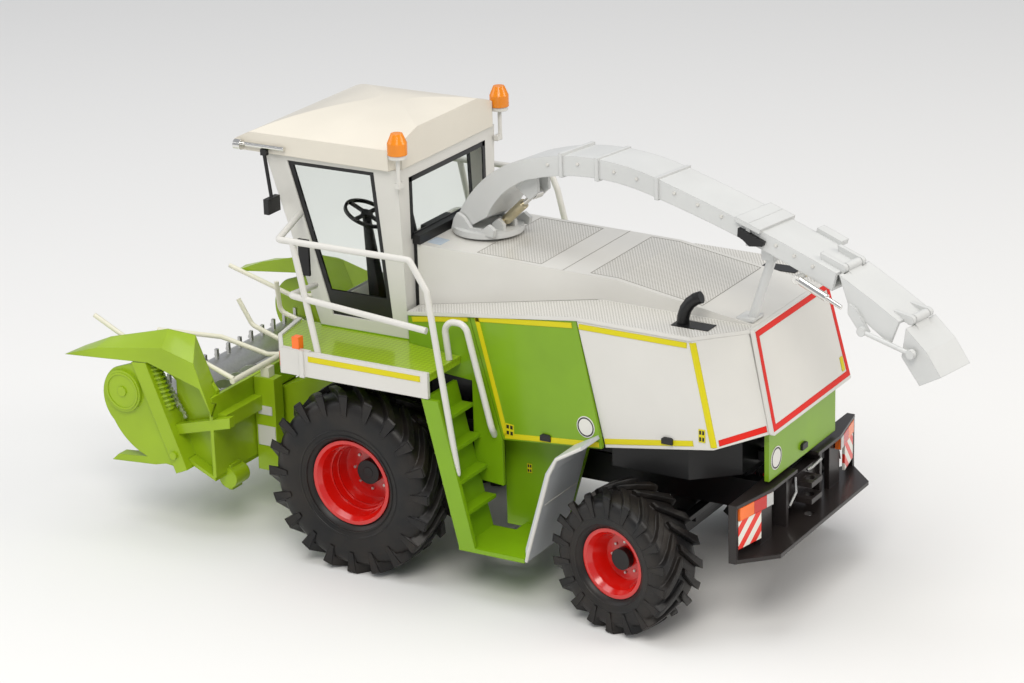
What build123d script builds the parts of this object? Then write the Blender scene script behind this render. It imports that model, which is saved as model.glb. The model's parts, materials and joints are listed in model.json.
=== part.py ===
"""A 1:32 scale model of a self-propelled forage harvester with a pick-up header.

X runs forward, Y to the left and Z up, in millimetres. The origin is on the ground, under the
middle of the overall length. Stations along the machine are given ahead of the front axle.
"""

import os
from math import asin, atan2, cos, degrees, pi, radians, sin, sqrt

from build123d import *

os.makedirs("parts", exist_ok=True)

# ---- Driving dimensions --------------------------------------------------------------------

front_axle_x = 40.14
wheelbase = 90.6
gap = 0.3  # between pieces that move past each other
rest_clearance = 1.1  # under the chute's falling stretch, for a pad on the rest
seam = 0.25  # between panels of the bodywork
sheet = 1.2  # wall of the bodywork

# Wheels
front_tyre_radius = 28.0
front_tyre_width = 20.0
front_lip_radius = 13.0
front_dish_radius = 9.0
front_dish_depth = 11.5
front_wheel_y = 37.5
rear_tyre_radius = 20.6
rear_tyre_width = 17.0
rear_lip_radius = 10.4
rear_dish_radius = 6.6
rear_dish_depth = 6.0
rear_wheel_offset = 11.4  # from the kingpin out to the middle of the tyre
rim_wall = 1.2
lip_inset = 2.0  # rim lip back from the tyre's side
axle_radius = 1.6
bore_clearance = 0.06
hub_cap_radius = 3.7

# Steering
kingpin_y = 30.0
kingpin_radius = 1.3
kingpin_boss_radius = 2.7
steer_at_rest = 10.6  # degrees the rear wheels are turned as the model stands
steer_arm = 6.5
tie_rod_pin_radius = 0.8

# Chassis
rail_y = 13.0
rail_width = 4.0
rail_height = 9.0
rail_bottom = 29.5

# Bodywork
hood_front = -9.8
hood_kink = -70.9
hood_corner = -106.4
hood_rear = -118.0
hood_half_width = 20.0
hood_top_front = 94.9
hood_top_kink = 93.4
hood_top_rear = 86.4
ledge_front = 76.4
ledge_flat = 87.0
side_front_y = 26.4
side_y = 36.0
rear_half_width = 23.0
rear_flare = 1.8  # the rear face is this much wider to each side at its foot
panel_split_top = -32.7
panel_split_bottom = -43.5
side_bottom_front = 44.3
side_bottom_kink = 49.7
side_bottom_corner = 54.7
rear_bottom = 57.5
rear_face_lean = 6.8  # the foot of the rear face stands further back than its top
corner_lean = 6.2  # and so do the corners beside it, over the same height
rear_panel_bottom = 42.0

# Cab
cab_rear = -8.6
cab_floor_z = 67.0
cab_top_z = 118.4
cab_front_bottom = 22.0
cab_front_top = 37.0
cab_half_bottom = 24.5
cab_half_top = 27.0
cab_wall = 1.6
glass = 0.8
roof_front = 46.5
roof_half_width = 28.6
roof_edge_z = 124.6
roof_crown_z = 131.2

# Platforms and ladder
deck_top = 66.6
deck_thickness = 2.2
deck_rear = -29.0
deck_front = 20.6
deck_outer = 47.5
board_height = 7.1
board_thickness = 1.2
ladder_inner_y = 28.6
step_z = 16.3
rail_radius = 0.95

# Chute
chute_x = -22.0
chute_slew = 10.25  # degrees towards the left as the model stands
chute_half = 6.95
chute_wall = 0.9
turntable_z = 95.0
turntable_radius = 10.5
lift_pin_r = -3.6
lift_pin_z = 99.6
flap_hinge_r = 127.5
flap_hinge_z = 107.4
flap_reach = 22.0  # from the flap's hinge to the tip's
tip_hinge_z = 97.6
rest_reach = 102.0

# Header
header_half = 46.5
header_plate = 1.4
header_hinge_x = 20.0
header_hinge_z = 40.0
reel_x = 74.6
reel_z = 34.5
reel_radius = 7.0
tine_radius = 10.4
auger_x = 57.0
auger_z = 38.0
auger_radius = 6.3
auger_core = 3.6


def ahead(distance):
    """X of a point this far ahead of the front axle."""
    return front_axle_x + distance


def finish(part, name):
    """Labels a finished piece and writes it."""
    part.label = name
    export_step(part, f"parts/{name}.step")


def side_view(points):
    """Points given as (ahead of the front axle, z) in the side view's sketch plane."""
    return [(ahead(x), z) for x, z in points]


SIDES = (("left", 1), ("right", -1))
rear_axle_x = ahead(-wheelbase)
side_plane = Plane(origin=(0, 0, 0), x_dir=(1, 0, 0), z_dir=(0, -1, 0))  # sketch (x, z)

# ---- Wheels --------------------------------------------------------------------------------


def wheel_plane(centre, outward):
    """Sketch plane through a wheel's axis: X out of the wheel, Y up from its centre."""
    out = Vector(*outward)
    return Plane(origin=centre, x_dir=outward, z_dir=out.cross(Vector(0, 0, 1)))


def rim_section(width, lip, dish, depth):
    """Half section of a rim as (out from the middle, radius), with a deep dished disc."""
    face = width / 2 - lip_inset
    seat = lip - 0.9
    disc = face - depth
    bore = axle_radius + bore_clearance
    return [
        (face, lip),
        (face - rim_wall, lip),
        (face - rim_wall, seat),
        (rim_wall - face, seat),
        (rim_wall - face, lip),
        (-face, lip),
        (-face, seat - rim_wall),
        (disc - rim_wall, seat - rim_wall),
        (disc - rim_wall, bore),
        (disc, bore),
        (disc, dish),
        (face - 1.5, seat - rim_wall),
        (face, lip - 1.1),
    ]


steer = radians(steer_at_rest)
rear_out_left = (sin(steer), cos(steer), 0)
rear_out_right = (-sin(steer), -cos(steer), 0)


def rear_centre(side, out):
    """Middle of a rear tyre, carried out from its kingpin."""
    return (
        rear_axle_x + rear_wheel_offset * out[0],
        side * kingpin_y + rear_wheel_offset * out[1],
        rear_tyre_radius,
    )


# name, centre, outward axis, tyre radius, tyre width, lip radius, dish radius, dish depth
front_sizes = (front_tyre_radius, front_tyre_width, front_lip_radius, front_dish_radius,
               front_dish_depth)
rear_sizes = (rear_tyre_radius, rear_tyre_width, rear_lip_radius, rear_dish_radius, rear_dish_depth)
front_x = ahead(0)
wheels = [
    ("front_left", (front_x, front_wheel_y, front_tyre_radius), (0, 1, 0), front_sizes),
    ("front_right", (front_x, -front_wheel_y, front_tyre_radius), (0, -1, 0), front_sizes),
    ("rear_left", rear_centre(1, rear_out_left), rear_out_left, rear_sizes),
    ("rear_right", rear_centre(-1, rear_out_right), rear_out_right, rear_sizes),
]

# Each tyre is made once, upright at the origin with its axle along Y: a carcass of flat facets,
# and two rows of leaning lugs from near the middle out over the shoulder.
# tyre radius, width, lip radius, lug height, lugs in a row, lug width, lug length
tyre_sizes = (
    (front_tyre_radius, front_tyre_width, front_lip_radius, 1.9, 17, 2.6, 11.4),
    (rear_tyre_radius, rear_tyre_width, rear_lip_radius, 1.5, 15, 2.2, 9.6),
)
lug_lean = 34.0
treads = {}
for radius, width, lip, lug, count, lug_width, lug_length in tyre_sizes:
    face = width / 2 - lip_inset - rim_wall
    side_face = width / 2 - 0.5
    lean = radians(lug_lean)
    lug_y = width / 2 - (lug_length * cos(lean) + lug_width * sin(lean)) / 2
    lug_reach = (lug_length * sin(lean) + lug_width * cos(lean)) / 2
    lug_top = sqrt(radius ** 2 - lug_reach ** 2)
    lug_start = 180 - degrees(asin(lug_reach / radius))  # one lug's corner stands on the ground
    # distance from the middle, radius
    profile = ((-face, lip), (-side_face, (lip + radius) / 2), (2.4 * lug - width / 2, radius - lug),
               (width / 2 - 2.4 * lug, radius - lug), (side_face, (lip + radius) / 2), (face, lip))
    with BuildPart() as tread:
        for y, ring in profile:
            with BuildSketch(Plane(origin=(0, y, 0), x_dir=(1, 0, 0), z_dir=(0, 1, 0))):
                RegularPolygon(ring / cos(pi / (2 * count)), 2 * count)
        loft(ruled=True)
        for side, half_step in ((1, 0), (-1, 0.5)):
            for step in range(count):
                turn = lug_start + 360 / count * (step + half_step)
                with Locations(Rotation(0, turn, 0) * Location((0, side * lug_y, lug_top),
                                                               (0, 0, -side * lug_lean))):
                    Box(lug_width, lug_length, 3.1 * lug,
                        align=(Align.CENTER, Align.CENTER, Align.MAX))
        Cylinder(lip - 0.9, width + 4, rotation=(90, 0, 0), mode=Mode.SUBTRACT)
    treads[radius] = tread.part

for wheel, centre, outward, (radius, width, lip, dish, depth) in wheels:
    spin = Axis(origin=centre, direction=outward)
    section = wheel_plane(centre, outward)
    face = width / 2 - lip_inset - rim_wall
    seat = lip - 0.9
    with BuildPart() as rim:
        with BuildSketch(section):
            with BuildLine():
                Polyline(*rim_section(width, lip, dish, depth), close=True)
            make_face()
        revolve(axis=spin)
    finish(rim.part, f"rim_{wheel}")

    with BuildPart() as tyre:
        with Locations(Location(centre, (0, 0, -degrees(atan2(outward[0], outward[1])) % 180))):
            add(treads[radius])
    finish(tyre.part, f"tyre_{wheel}")

# ---- Axles and steering --------------------------------------------------------------------

front_disc = front_wheel_y + front_tyre_width / 2 - lip_inset - front_dish_depth  # outer face
with BuildPart() as front_axle:
    with Locations((front_x, 0, front_tyre_radius)):
        Cylinder(axle_radius, 2 * (front_disc + 2.4), rotation=(90, 0, 0))
        Cylinder(6.0, 2 * (front_disc - rim_wall - gap), rotation=(90, 0, 0))
    for side in (1, -1):
        with Locations((front_x, side * (front_disc + gap + 1.0), front_tyre_radius)):
            Cylinder(hub_cap_radius, 2.0, rotation=(90, 0, 0))
finish(front_axle.part, "front_axle")

pin_z = rear_tyre_radius
beam_half_height = 3.0
with BuildPart() as rear_axle_beam:
    with Locations((rear_axle_x, 0, pin_z)):
        Box(4.4, 2 * kingpin_y, 2 * beam_half_height)
    for side in (1, -1):
        with Locations((rear_axle_x, side * kingpin_y, pin_z)):
            Cylinder(kingpin_boss_radius, 2 * beam_half_height)
            Hole(kingpin_radius + bore_clearance)
    with Locations((rear_axle_x, 0, (pin_z + rail_bottom) / 2)):
        Box(8.0, 2 * rail_y - rail_width, rail_bottom - pin_z)
finish(rear_axle_beam.part, "rear_axle_beam")

yoke_plate = 1.3
yoke_z = beam_half_height + gap
rear_disc = rear_wheel_offset + rear_tyre_width / 2 - lip_inset - rear_dish_depth
web_y = kingpin_boss_radius + gap
for (name, side), out in zip(SIDES, (rear_out_left, rear_out_right)):
    pin = (rear_axle_x, side * kingpin_y, pin_z)
    yoke = Plane(origin=pin, x_dir=out, z_dir=(0, 0, 1))
    arm_side = -side  # the steering arm points back from the left pin when the yoke is straight
    with BuildPart() as knuckle:
        with BuildSketch(yoke.offset(-yoke_z - yoke_plate)):
            Circle(kingpin_radius)
        extrude(amount=2 * (yoke_z + yoke_plate))
        for level in (yoke_z, -yoke_z - yoke_plate):
            with BuildSketch(yoke.offset(level)):
                with Locations(((web_y + 1.6) / 2, 0)):
                    Rectangle(web_y + 1.6, 5.0)
                Circle(2.5)
            extrude(amount=yoke_plate)
        with BuildSketch(yoke.offset(-yoke_z)):
            with Locations((web_y + 0.8, 0)):
                Rectangle(1.6, 5.0)
        extrude(amount=2 * yoke_z)
        with BuildSketch(yoke.offset(yoke_z)):
            with Locations((0, side * steer_arm / 2)):
                Rectangle(3.0, steer_arm)
            with Locations((0, side * steer_arm)):
                Circle(1.6)
        extrude(amount=yoke_plate)
        with BuildSketch(yoke.offset(yoke_z + yoke_plate)):
            with Locations((0, side * steer_arm)):
                Circle(tie_rod_pin_radius)
        extrude(amount=2.4)
        stub = wheel_plane(pin, out)
        with BuildSketch(stub):
            with BuildLine():
                Polyline(
                    (web_y + 0.8, 0),
                    (web_y + 0.8, 2.4),
                    (rear_disc - rim_wall - gap, 2.4),
                    (rear_disc - rim_wall - gap, axle_radius),
                    (rear_disc + gap, axle_radius),
                    (rear_disc + gap, hub_cap_radius - 0.6),
                    (rear_disc + 2.4, hub_cap_radius - 0.6),
                    (rear_disc + 2.4, 0),
                    close=True,
                )
            make_face()
        revolve(axis=Axis(origin=pin, direction=out))
    finish(knuckle.part, f"knuckle_{name}")

# The track rod's slots let the pins swing on their arcs while the rod slides sideways.
rod_z = pin_z + yoke_z + yoke_plate + 0.4
rod_shift_x = -steer_arm * cos(steer)
rod_shift_y = steer_arm * sin(steer)
slot_reach = 1.2
with BuildPart() as track_rod:
    with BuildSketch(Plane.XY.offset(rod_z)):
        with Locations((rear_axle_x + rod_shift_x, rod_shift_y)):
            Rectangle(3.0, 2 * kingpin_y)
        with Locations(*[(rear_axle_x + rod_shift_x, side * kingpin_y + rod_shift_y)
                         for side in (1, -1)]):
            Rectangle(2 * slot_reach + 4.0, 4.4)
        with Locations(*[(rear_axle_x + rod_shift_x, side * kingpin_y + rod_shift_y)
                         for side in (1, -1)]):
            SlotOverall(2 * (slot_reach + tie_rod_pin_radius + 0.1),
                        2 * (tie_rod_pin_radius + 0.1), mode=Mode.SUBTRACT)
    extrude(amount=1.4)
finish(track_rod.part, "track_rod")

# ---- Chassis -------------------------------------------------------------------------------

cab_box_z = cab_floor_z - 10.0
tray_floor = 43.4
throat_half = 16.0
feed_outer = throat_half + sheet
cheek_y = feed_outer + gap
chassis_rear = -119.0
chassis_front = 14.0
with BuildPart() as chassis_frame:
    for side in (1, -1):
        with Locations((ahead((chassis_rear + chassis_front) / 2), side * rail_y,
                        rail_bottom + rail_height / 2)):
            Box(chassis_front - chassis_rear, rail_width, rail_height)
    cross_inner = 2 * rail_y - rail_width
    for station in (chassis_rear + 2, -60, -34):
        with Locations((ahead(station), 0, rail_bottom + rail_height / 2)):
            Box(4.0, cross_inner, rail_height - 2)
    with BuildSketch(side_plane):
        with BuildLine():
            Polyline(*side_view([(-12, rail_bottom + rail_height), (-12, cab_box_z), (12, cab_box_z), (12, 34.5),
                                 (-8, 34.5), (-8, rail_bottom + rail_height)]), close=True)
        make_face()
    extrude(amount=rail_y + rail_width / 2 + 3.5, both=True)
    with BuildSketch(side_plane):
        with BuildLine():
            Polyline(*side_view([(-9, 55), (30, 55), (30, 20), (-9, 20)]), close=True)
        make_face()
    extrude(amount=rail_y - rail_width / 2, both=True, mode=Mode.SUBTRACT)
    for side in (1, -1):
        with BuildSketch(side_plane.offset(-side * cheek_y)):
            with BuildLine():
                Polyline(*side_view([(4.0, 34.6), (4.0, cab_box_z), (18.0, cab_box_z), (24.5, 42.0),
                                     (24.5, 36.0), (20.0, 34.6)]), close=True)
            make_face()
            with Locations((ahead(header_hinge_x), header_hinge_z)):
                Circle(2.0 + bore_clearance, mode=Mode.SUBTRACT)
        extrude(amount=-side * 1.8)
    for station in (-76.0, -109.0):
        with Locations((ahead(station), 0, (rail_bottom + rail_height + tray_floor) / 2)):
            Box(6.0, cross_inner + rail_width, tray_floor - rail_bottom - rail_height)
    with Locations((front_x, 0, front_tyre_radius)):
        Cylinder(6.0 + 0.02, 80, rotation=(90, 0, 0), mode=Mode.SUBTRACT)
finish(chassis_frame.part, "chassis_frame")

tray_front = -68.2
tray_step = -80.0
tray_inner = 24.8
tray_outer = side_y - sheet - 1.6
with BuildPart() as underbody_tray:
    with BuildSketch(Plane.XY.offset(tray_floor)):
        with BuildLine():
            Polyline(
                (ahead(tray_front), -tray_inner), (ahead(tray_step), -tray_inner),
                (ahead(tray_step), -tray_outer), (ahead(-104), -tray_outer),
                (ahead(-115.5), 10 - tray_outer), (ahead(-115.5), tray_outer - 10),
                (ahead(-104), tray_outer), (ahead(tray_step), tray_outer),
                (ahead(tray_step), tray_inner), (ahead(tray_front), tray_inner), close=True,
            )
        make_face()
    extrude(amount=11.0)
    offset(amount=-sheet, openings=underbody_tray.faces().sort_by(Axis.Z)[-1])
finish(underbody_tray.part, "underbody_tray")

# ---- Hood ----------------------------------------------------------------------------------

hood_centre = [
    (hood_front, ledge_front), (hood_front, hood_top_front), (-74.8, hood_top_kink),
    (hood_rear, hood_top_rear), (hood_rear, hood_top_rear - 0.8), (-68.9, ledge_flat - 0.3),
]
with BuildPart() as hood_top:
    with BuildSketch(side_plane):
        with BuildLine():
            Polyline(*side_view(hood_centre), close=True)
        make_face()
    extrude(amount=hood_half_width, both=True)
    with BuildSketch(side_plane):
        with BuildLine():
            Polyline(*side_view([
                (hood_front - sheet, ledge_front - 3), (hood_front - sheet, hood_top_front - sheet),
                (-74.8, hood_top_kink - sheet), (-108, ledge_flat - 0.5), (-68.9, ledge_flat - 3),
            ]), close=True)
        make_face()
    extrude(amount=hood_half_width - sheet, both=True, mode=Mode.SUBTRACT)
finish(hood_top.part, "hood_top")

with BuildPart() as hood_ledges:
    for side in (1, -1):
        with BuildSketch(Plane.XY.offset(ledge_front - 6)):
            with BuildLine():
                Polyline(
                    (ahead(hood_front), side * (hood_half_width + 0.02)),
                    (ahead(hood_front), side * (side_front_y + 0.4)),
                    (ahead(hood_kink), side * (side_y + 0.4)),
                    (ahead(hood_corner), side * (side_y + 0.4)),
                    (ahead(hood_rear), side * (rear_half_width + 0.4)),
                    (ahead(hood_rear), side * (hood_half_width + 0.02)), close=True,
                )
            make_face()
        extrude(amount=20)
    with BuildSketch(side_plane):
        with BuildLine():
            Polyline(*side_view([
                (hood_front, ledge_front), (hood_kink, ledge_flat), (hood_rear, ledge_flat - 0.6),
                (hood_rear, ledge_flat - 0.6 - sheet), (hood_kink, ledge_flat - sheet),
                (hood_front, ledge_front - sheet),
            ]), close=True)
        make_face()
    extrude(amount=60, both=True, mode=Mode.INTERSECT)
    for side in (1, -1):
        with BuildSketch(Plane.XY.offset(ledge_flat - 4)):
            with Locations((ahead(-101), side * 27.2)):
                Rectangle(7.0, 6.4)
        extrude(amount=6, mode=Mode.SUBTRACT)
finish(hood_ledges.part, "hood_ledges")


def side_line(x):
    """Outer face of the side wall, in plan, at a station ahead of the front axle."""
    share = (hood_front - x) / (hood_front - hood_kink)
    return side_front_y + (side_y - side_front_y) * share


def side_panels(name, front, rear, wall_front, wall_rear, outline):
    """A pair of side panels: a straight wall in plan, cut to its outline in the side view."""
    with BuildPart() as panels:
        for side in (1, -1):
            with BuildSketch(Plane.XY.offset(30)):
                with BuildLine():
                    Polyline(
                        (ahead(front), side * wall_front), (ahead(rear), side * wall_rear),
                        (ahead(rear), side * (wall_rear - sheet)),
                        (ahead(front), side * (wall_front - sheet)), close=True,
                    )
                make_face()
            extrude(amount=60)
        with BuildSketch(side_plane):
            with BuildLine():
                Polyline(*side_view(outline), close=True)
            make_face()
        extrude(amount=60, both=True, mode=Mode.INTERSECT)
    finish(panels.part, name)
    return panels.part


def ledge_under(x):
    """Underside of the ledge at a station on its rising stretch."""
    share = (hood_front - x) / (hood_front - hood_kink)
    return ledge_front + (ledge_flat - ledge_front) * share - sheet


split_top = panel_split_top
front_side_panels = side_panels(
    "front_side_panels", hood_front, -46.0, side_front_y, side_line(-46.0),
    [(hood_front, ledge_under(hood_front)), (split_top, ledge_under(split_top)),
     (panel_split_bottom, side_bottom_front), (panel_split_bottom, step_z + 1.2), (-46, step_z + 1.2),
     (-46, step_z), (-33, step_z), (-33, 60), (hood_front, 60)],
)
service_panels = side_panels(
    "service_panels", split_top, hood_kink - 8.2, side_line(split_top), side_line(hood_kink - 8.2),
    [(split_top - seam, ledge_under(split_top)), (hood_kink, ledge_flat - sheet),
     (-79.3, side_bottom_kink), (panel_split_bottom - seam, side_bottom_front)],
)

def rear_plan(side, height):
    """Plan of a rear side panel's wall at a height, round its leaning corner to the rear face."""
    drop = (hood_top_rear - height) / (hood_top_rear - rear_bottom)
    corner = ahead(hood_corner - corner_lean * drop)
    rear = ahead(hood_rear - rear_face_lean * drop)
    half = rear_half_width + rear_flare * drop
    return [(ahead(hood_kink), side * side_y), (corner, side * side_y), (rear, side * half),
            (rear + 0.4, side * (half - sheet)), (corner + 0.5, side * (side_y - sheet)),
            (ahead(hood_kink), side * (side_y - sheet))]


with BuildPart() as rear_side_panels:
    for side in (1, -1):
        for height in (40, 90):
            with BuildSketch(Plane.XY.offset(height)):
                with BuildLine():
                    Polyline(*rear_plan(side, height), close=True)
                make_face()
        loft(ruled=True)
    with BuildSketch(side_plane):
        with BuildLine():
            Polyline(*side_view([
                (hood_kink - seam, ledge_flat - sheet), (-79.3 - seam, side_bottom_kink),
                (hood_corner - corner_lean, side_bottom_corner),
                (hood_rear - rear_face_lean + 0.3, rear_bottom),
                (hood_rear + 0.3, ledge_flat - 0.6 - sheet),
            ]), close=True)
        make_face()
    extrude(amount=60, both=True, mode=Mode.INTERSECT)
finish(rear_side_panels.part, "rear_side_panels")

rear_rim = 0.4  # the rear face stands this far past the walls beside it
with BuildPart() as rear_hood:
    with BuildSketch(side_plane):
        with BuildLine():
            Polyline(*side_view([
                (hood_rear - 0.02, ledge_flat - 0.6), (hood_rear - rear_face_lean, rear_bottom),
                (hood_rear - rear_face_lean - 1.4, rear_bottom), (hood_rear - 1.4, ledge_flat - 0.6),
            ]), close=True)
        make_face()
    extrude(amount=side_y, both=True)
    with BuildSketch(Plane.YZ.offset(ahead(hood_rear - 12))):
        with BuildLine():
            Polyline(
                (rear_half_width + rear_rim, ledge_flat), (-rear_half_width - rear_rim, ledge_flat),
                (-rear_half_width - rear_flare - rear_rim, rear_bottom),
                (rear_half_width + rear_flare + rear_rim, rear_bottom), close=True,
            )
        make_face()
    extrude(amount=24, mode=Mode.INTERSECT)
finish(rear_hood.part, "rear_hood")

with BuildPart() as rear_panel:
    with Locations((ahead(hood_rear - 4.2), 0, (rear_panel_bottom + rear_bottom) / 2)):
        Box(1.4, 43.6, rear_bottom - rear_panel_bottom)
finish(rear_panel.part, "rear_panel")

# ---- Cab -----------------------------------------------------------------------------------


def cab_section(z, inset):
    """Front X and half width of the cab shell at a height, moved in by inset."""
    share = (z - cab_floor_z) / (cab_top_z - cab_floor_z)
    front = cab_front_bottom + (cab_front_top - cab_front_bottom) * share
    half = cab_half_bottom + (cab_half_top - cab_half_bottom) * share
    return front - inset, half - inset


# Door opening corners as (ahead of the front axle, z)
door_opening = [(-3.6, 70.8), (17.4, 70.8), (29.4, 117.0), (-0.4, 117.0)]
cab_insets = ((0, 0, Mode.ADD), (cab_wall, 1, Mode.SUBTRACT))  # inset, overrun, mode
with BuildPart() as cab_frame:
    for inset, overrun, mode in cab_insets:
        for z in (cab_floor_z - overrun, cab_top_z + overrun):
            front, half = cab_section(z, inset)
            rear = cab_rear + inset
            with BuildSketch(Plane.XY.offset(z)):
                with Locations((ahead((front + rear) / 2), 0)):
                    Rectangle(front - rear, 2 * half)
        loft(ruled=True, mode=mode)
    with BuildSketch(side_plane):
        with BuildLine():
            Polyline(*side_view(door_opening), close=True)
        make_face()
    extrude(amount=40, both=True, mode=Mode.SUBTRACT)
    for station, half, low, high in ((28.0, 21.2, 72.0, 116.4), (cab_rear, 21.0, 96.6, 114.8)):
        with Locations((ahead(station), 0, (low + high) / 2)):
            Box(24 if station > 0 else 6, 2 * half, high - low, mode=Mode.SUBTRACT)
finish(cab_frame.part, "cab_frame")

roof_rear = cab_rear - 0.6
beacon_x = -9.4
beacon_y = 28.4
beacon_z = 123.8
with BuildPart() as cab_roof:
    with BuildSketch(side_plane):
        with BuildLine():
            Line((ahead(roof_rear), cab_top_z), (ahead(roof_front), cab_top_z + 0.6))
            Line((ahead(roof_front), cab_top_z + 0.6), (ahead(roof_front), cab_top_z + 3.6))
            ThreePointArc((ahead(roof_front), cab_top_z + 3.6), (ahead(24), roof_crown_z - 1.2),
                          (ahead(roof_rear), roof_crown_z - 2.2))
            Line((ahead(roof_rear), roof_crown_z - 2.2), (ahead(roof_rear), cab_top_z))
        make_face()
    extrude(amount=roof_half_width, both=True)
    with BuildSketch(Plane(origin=(ahead(20), 0, 0), x_dir=(0, 1, 0), z_dir=(1, 0, 0))):
        with BuildLine():
            Line((-roof_half_width, cab_top_z - 1), (roof_half_width, cab_top_z - 1))
            Line((roof_half_width, cab_top_z - 1), (roof_half_width, roof_edge_z))
            ThreePointArc((roof_half_width, roof_edge_z), (0, roof_crown_z),
                          (-roof_half_width, roof_edge_z))
            Line((-roof_half_width, roof_edge_z), (-roof_half_width, cab_top_z - 1))
        make_face()
    extrude(amount=40, both=True, mode=Mode.INTERSECT)
    with Locations(*[(ahead(beacon_x - 0.4), side * beacon_y, beacon_z) for side in (1, -1)]):
        Cylinder(3.2, 30, mode=Mode.SUBTRACT)
finish(cab_roof.part, "cab_roof")

# Floor of the cab with the console beside the seat
with BuildPart() as cab_floor:
    with BuildSketch(side_plane):
        with BuildLine():
            Polyline(*side_view([
                (cab_rear, cab_floor_z), (cab_rear, 57.0), (16.0, 57.0),
                (cab_front_bottom, 60.0), (cab_front_bottom, cab_floor_z)]), close=True)
        make_face()
    extrude(amount=cab_half_bottom, both=True)
    with Locations((ahead(2.0), -14.0, cab_floor_z + 7)):
        Box(15.0, 6.0, 14.0)
finish(cab_floor.part, "cab_floor")

with BuildPart() as seat:
    with Locations((ahead(0.5), 0, cab_floor_z + 4.5)):
        Box(9.0, 9.0, 9.0)
    with Locations((ahead(1.5), 0, cab_floor_z + 10.5)):
        Box(13.0, 15.0, 3.6)
    with BuildSketch(side_plane):
        with BuildLine():
            Polyline(*side_view([
                (-4.4, cab_floor_z + 12), (-1.6, cab_floor_z + 12), (-2.8, cab_floor_z + 29),
                (-5.6, cab_floor_z + 29)]), close=True)
        make_face()
    extrude(amount=7.0, both=True)
    for side in (1, -1):
        with Locations((ahead(2.5), side * 8.4, cab_floor_z + 18.5)):
            Box(13.0, 1.8, 1.6)
        with Locations((ahead(-3.2), side * 7.6, cab_floor_z + 18.5)):
            Box(2.4, 3.4, 1.6)
finish(seat.part, "seat")

column_foot = (ahead(17.4), 0, cab_floor_z)
wheel_centre = (ahead(20.5), 0, 94.0)
wheel_axis = (-0.42, 0, 0.907)
with BuildPart() as steering_column:
    with BuildSketch(Plane(origin=column_foot, x_dir=(1, 0, 0), z_dir=(0, 0, 1))):
        Rectangle(4.0, 4.0)
    with BuildSketch(Plane(origin=wheel_centre, x_dir=(0.907, 0, 0.42), z_dir=wheel_axis)):
        Circle(1.4)
    loft()
    with BuildSketch(Plane(origin=wheel_centre, x_dir=(0.907, 0, 0.42), z_dir=wheel_axis)):
        Circle(7.2)
        Circle(6.3, mode=Mode.SUBTRACT)
        Rectangle(1.0, 13.2)
        Rectangle(13.2, 1.0)
        Circle(1.8)
    extrude(amount=0.9)
finish(steering_column.part, "steering_column")

# Panes lie in the middle of the cab wall, so each stands in its own opening.
pane_inset = (cab_wall - glass) / 2
pane_insets = ((pane_inset, 0, Mode.ADD), (pane_inset + glass, 1, Mode.SUBTRACT))
front_low, front_high = 72.0, 116.4
with BuildPart() as cab_windows:
    for inset, overrun, mode in pane_insets:
        for z in (cab_floor_z - overrun, cab_top_z + overrun):
            front, half = cab_section(z, inset)
            rear = cab_rear + inset
            with BuildSketch(Plane.XY.offset(z)):
                with Locations((ahead((front + rear) / 2), 0)):
                    Rectangle(front - rear, 2 * half)
        loft(ruled=True, mode=mode)
    with BuildSketch(Plane(origin=(ahead(0), 0, 0), x_dir=(0, 1, 0), z_dir=(1, 0, 0))):
        with Locations((0, (front_low + front_high) / 2)):
            Rectangle(2 * 21.2, front_high - front_low)
    extrude(amount=50, mode=Mode.INTERSECT)
    with Locations((ahead(0), 0, 90)):
        Box(24, 60, 80, mode=Mode.SUBTRACT)
with BuildPart() as rear_pane:
    with Locations((ahead(cab_rear + cab_wall / 2), 0, (96.6 + 114.8) / 2)):
        Box(glass, 42.0, 114.8 - 96.6)
windows = Compound(children=[cab_windows.part.solid(), rear_pane.part.solid()])
finish(windows, "cab_windows")

door_border = 1.5
door_sill = 7.6
door_pane = [(-3.6 + door_border + 0.5, 70.8 + door_sill), (17.4 + 0.4, 70.8 + door_sill),
             (29.4 - door_border - 0.3, 117.0 - 1.2), (-0.4 + door_border, 117.0 - 1.2)]
for name, is_pane in (("door_frames", False), ("door_panes", True)):
    with BuildPart() as doors:
        for inset, overrun, mode in pane_insets:
            for z in (cab_floor_z - overrun, cab_top_z + overrun):
                front, half = cab_section(z, inset)
                with BuildSketch(Plane.XY.offset(z)):
                    with Locations((ahead(10), 0)):
                        Rectangle(100, 2 * half)
            loft(ruled=True, mode=mode)
        with BuildSketch(side_plane):
            with BuildLine():
                Polyline(*side_view(door_pane if is_pane else door_opening), close=True)
            make_face()
        extrude(amount=40, both=True, mode=Mode.INTERSECT)
        if not is_pane:
            with BuildSketch(side_plane):
                with BuildLine():
                    Polyline(*side_view(door_pane), close=True)
                make_face()
            extrude(amount=40, both=True, mode=Mode.SUBTRACT)
    finish(doors.part, name)

with BuildPart() as beacon_stems:
    for side in (1, -1):
        with Locations((ahead(beacon_x - 0.4), side * beacon_y, (113.6 + beacon_z) / 2)):
            Cylinder(0.6, beacon_z - 113.6)
        with Locations((ahead(beacon_x - 0.1), side * (beacon_y - 0.9), 114.4)):
            Box(1.4, 3.0, 1.6)
        with Locations((ahead(beacon_x - 0.4), side * beacon_y, beacon_z - 0.5)):
            Cylinder(2.6, 1.2)
finish(beacon_stems.part, "beacon_stems")

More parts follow.
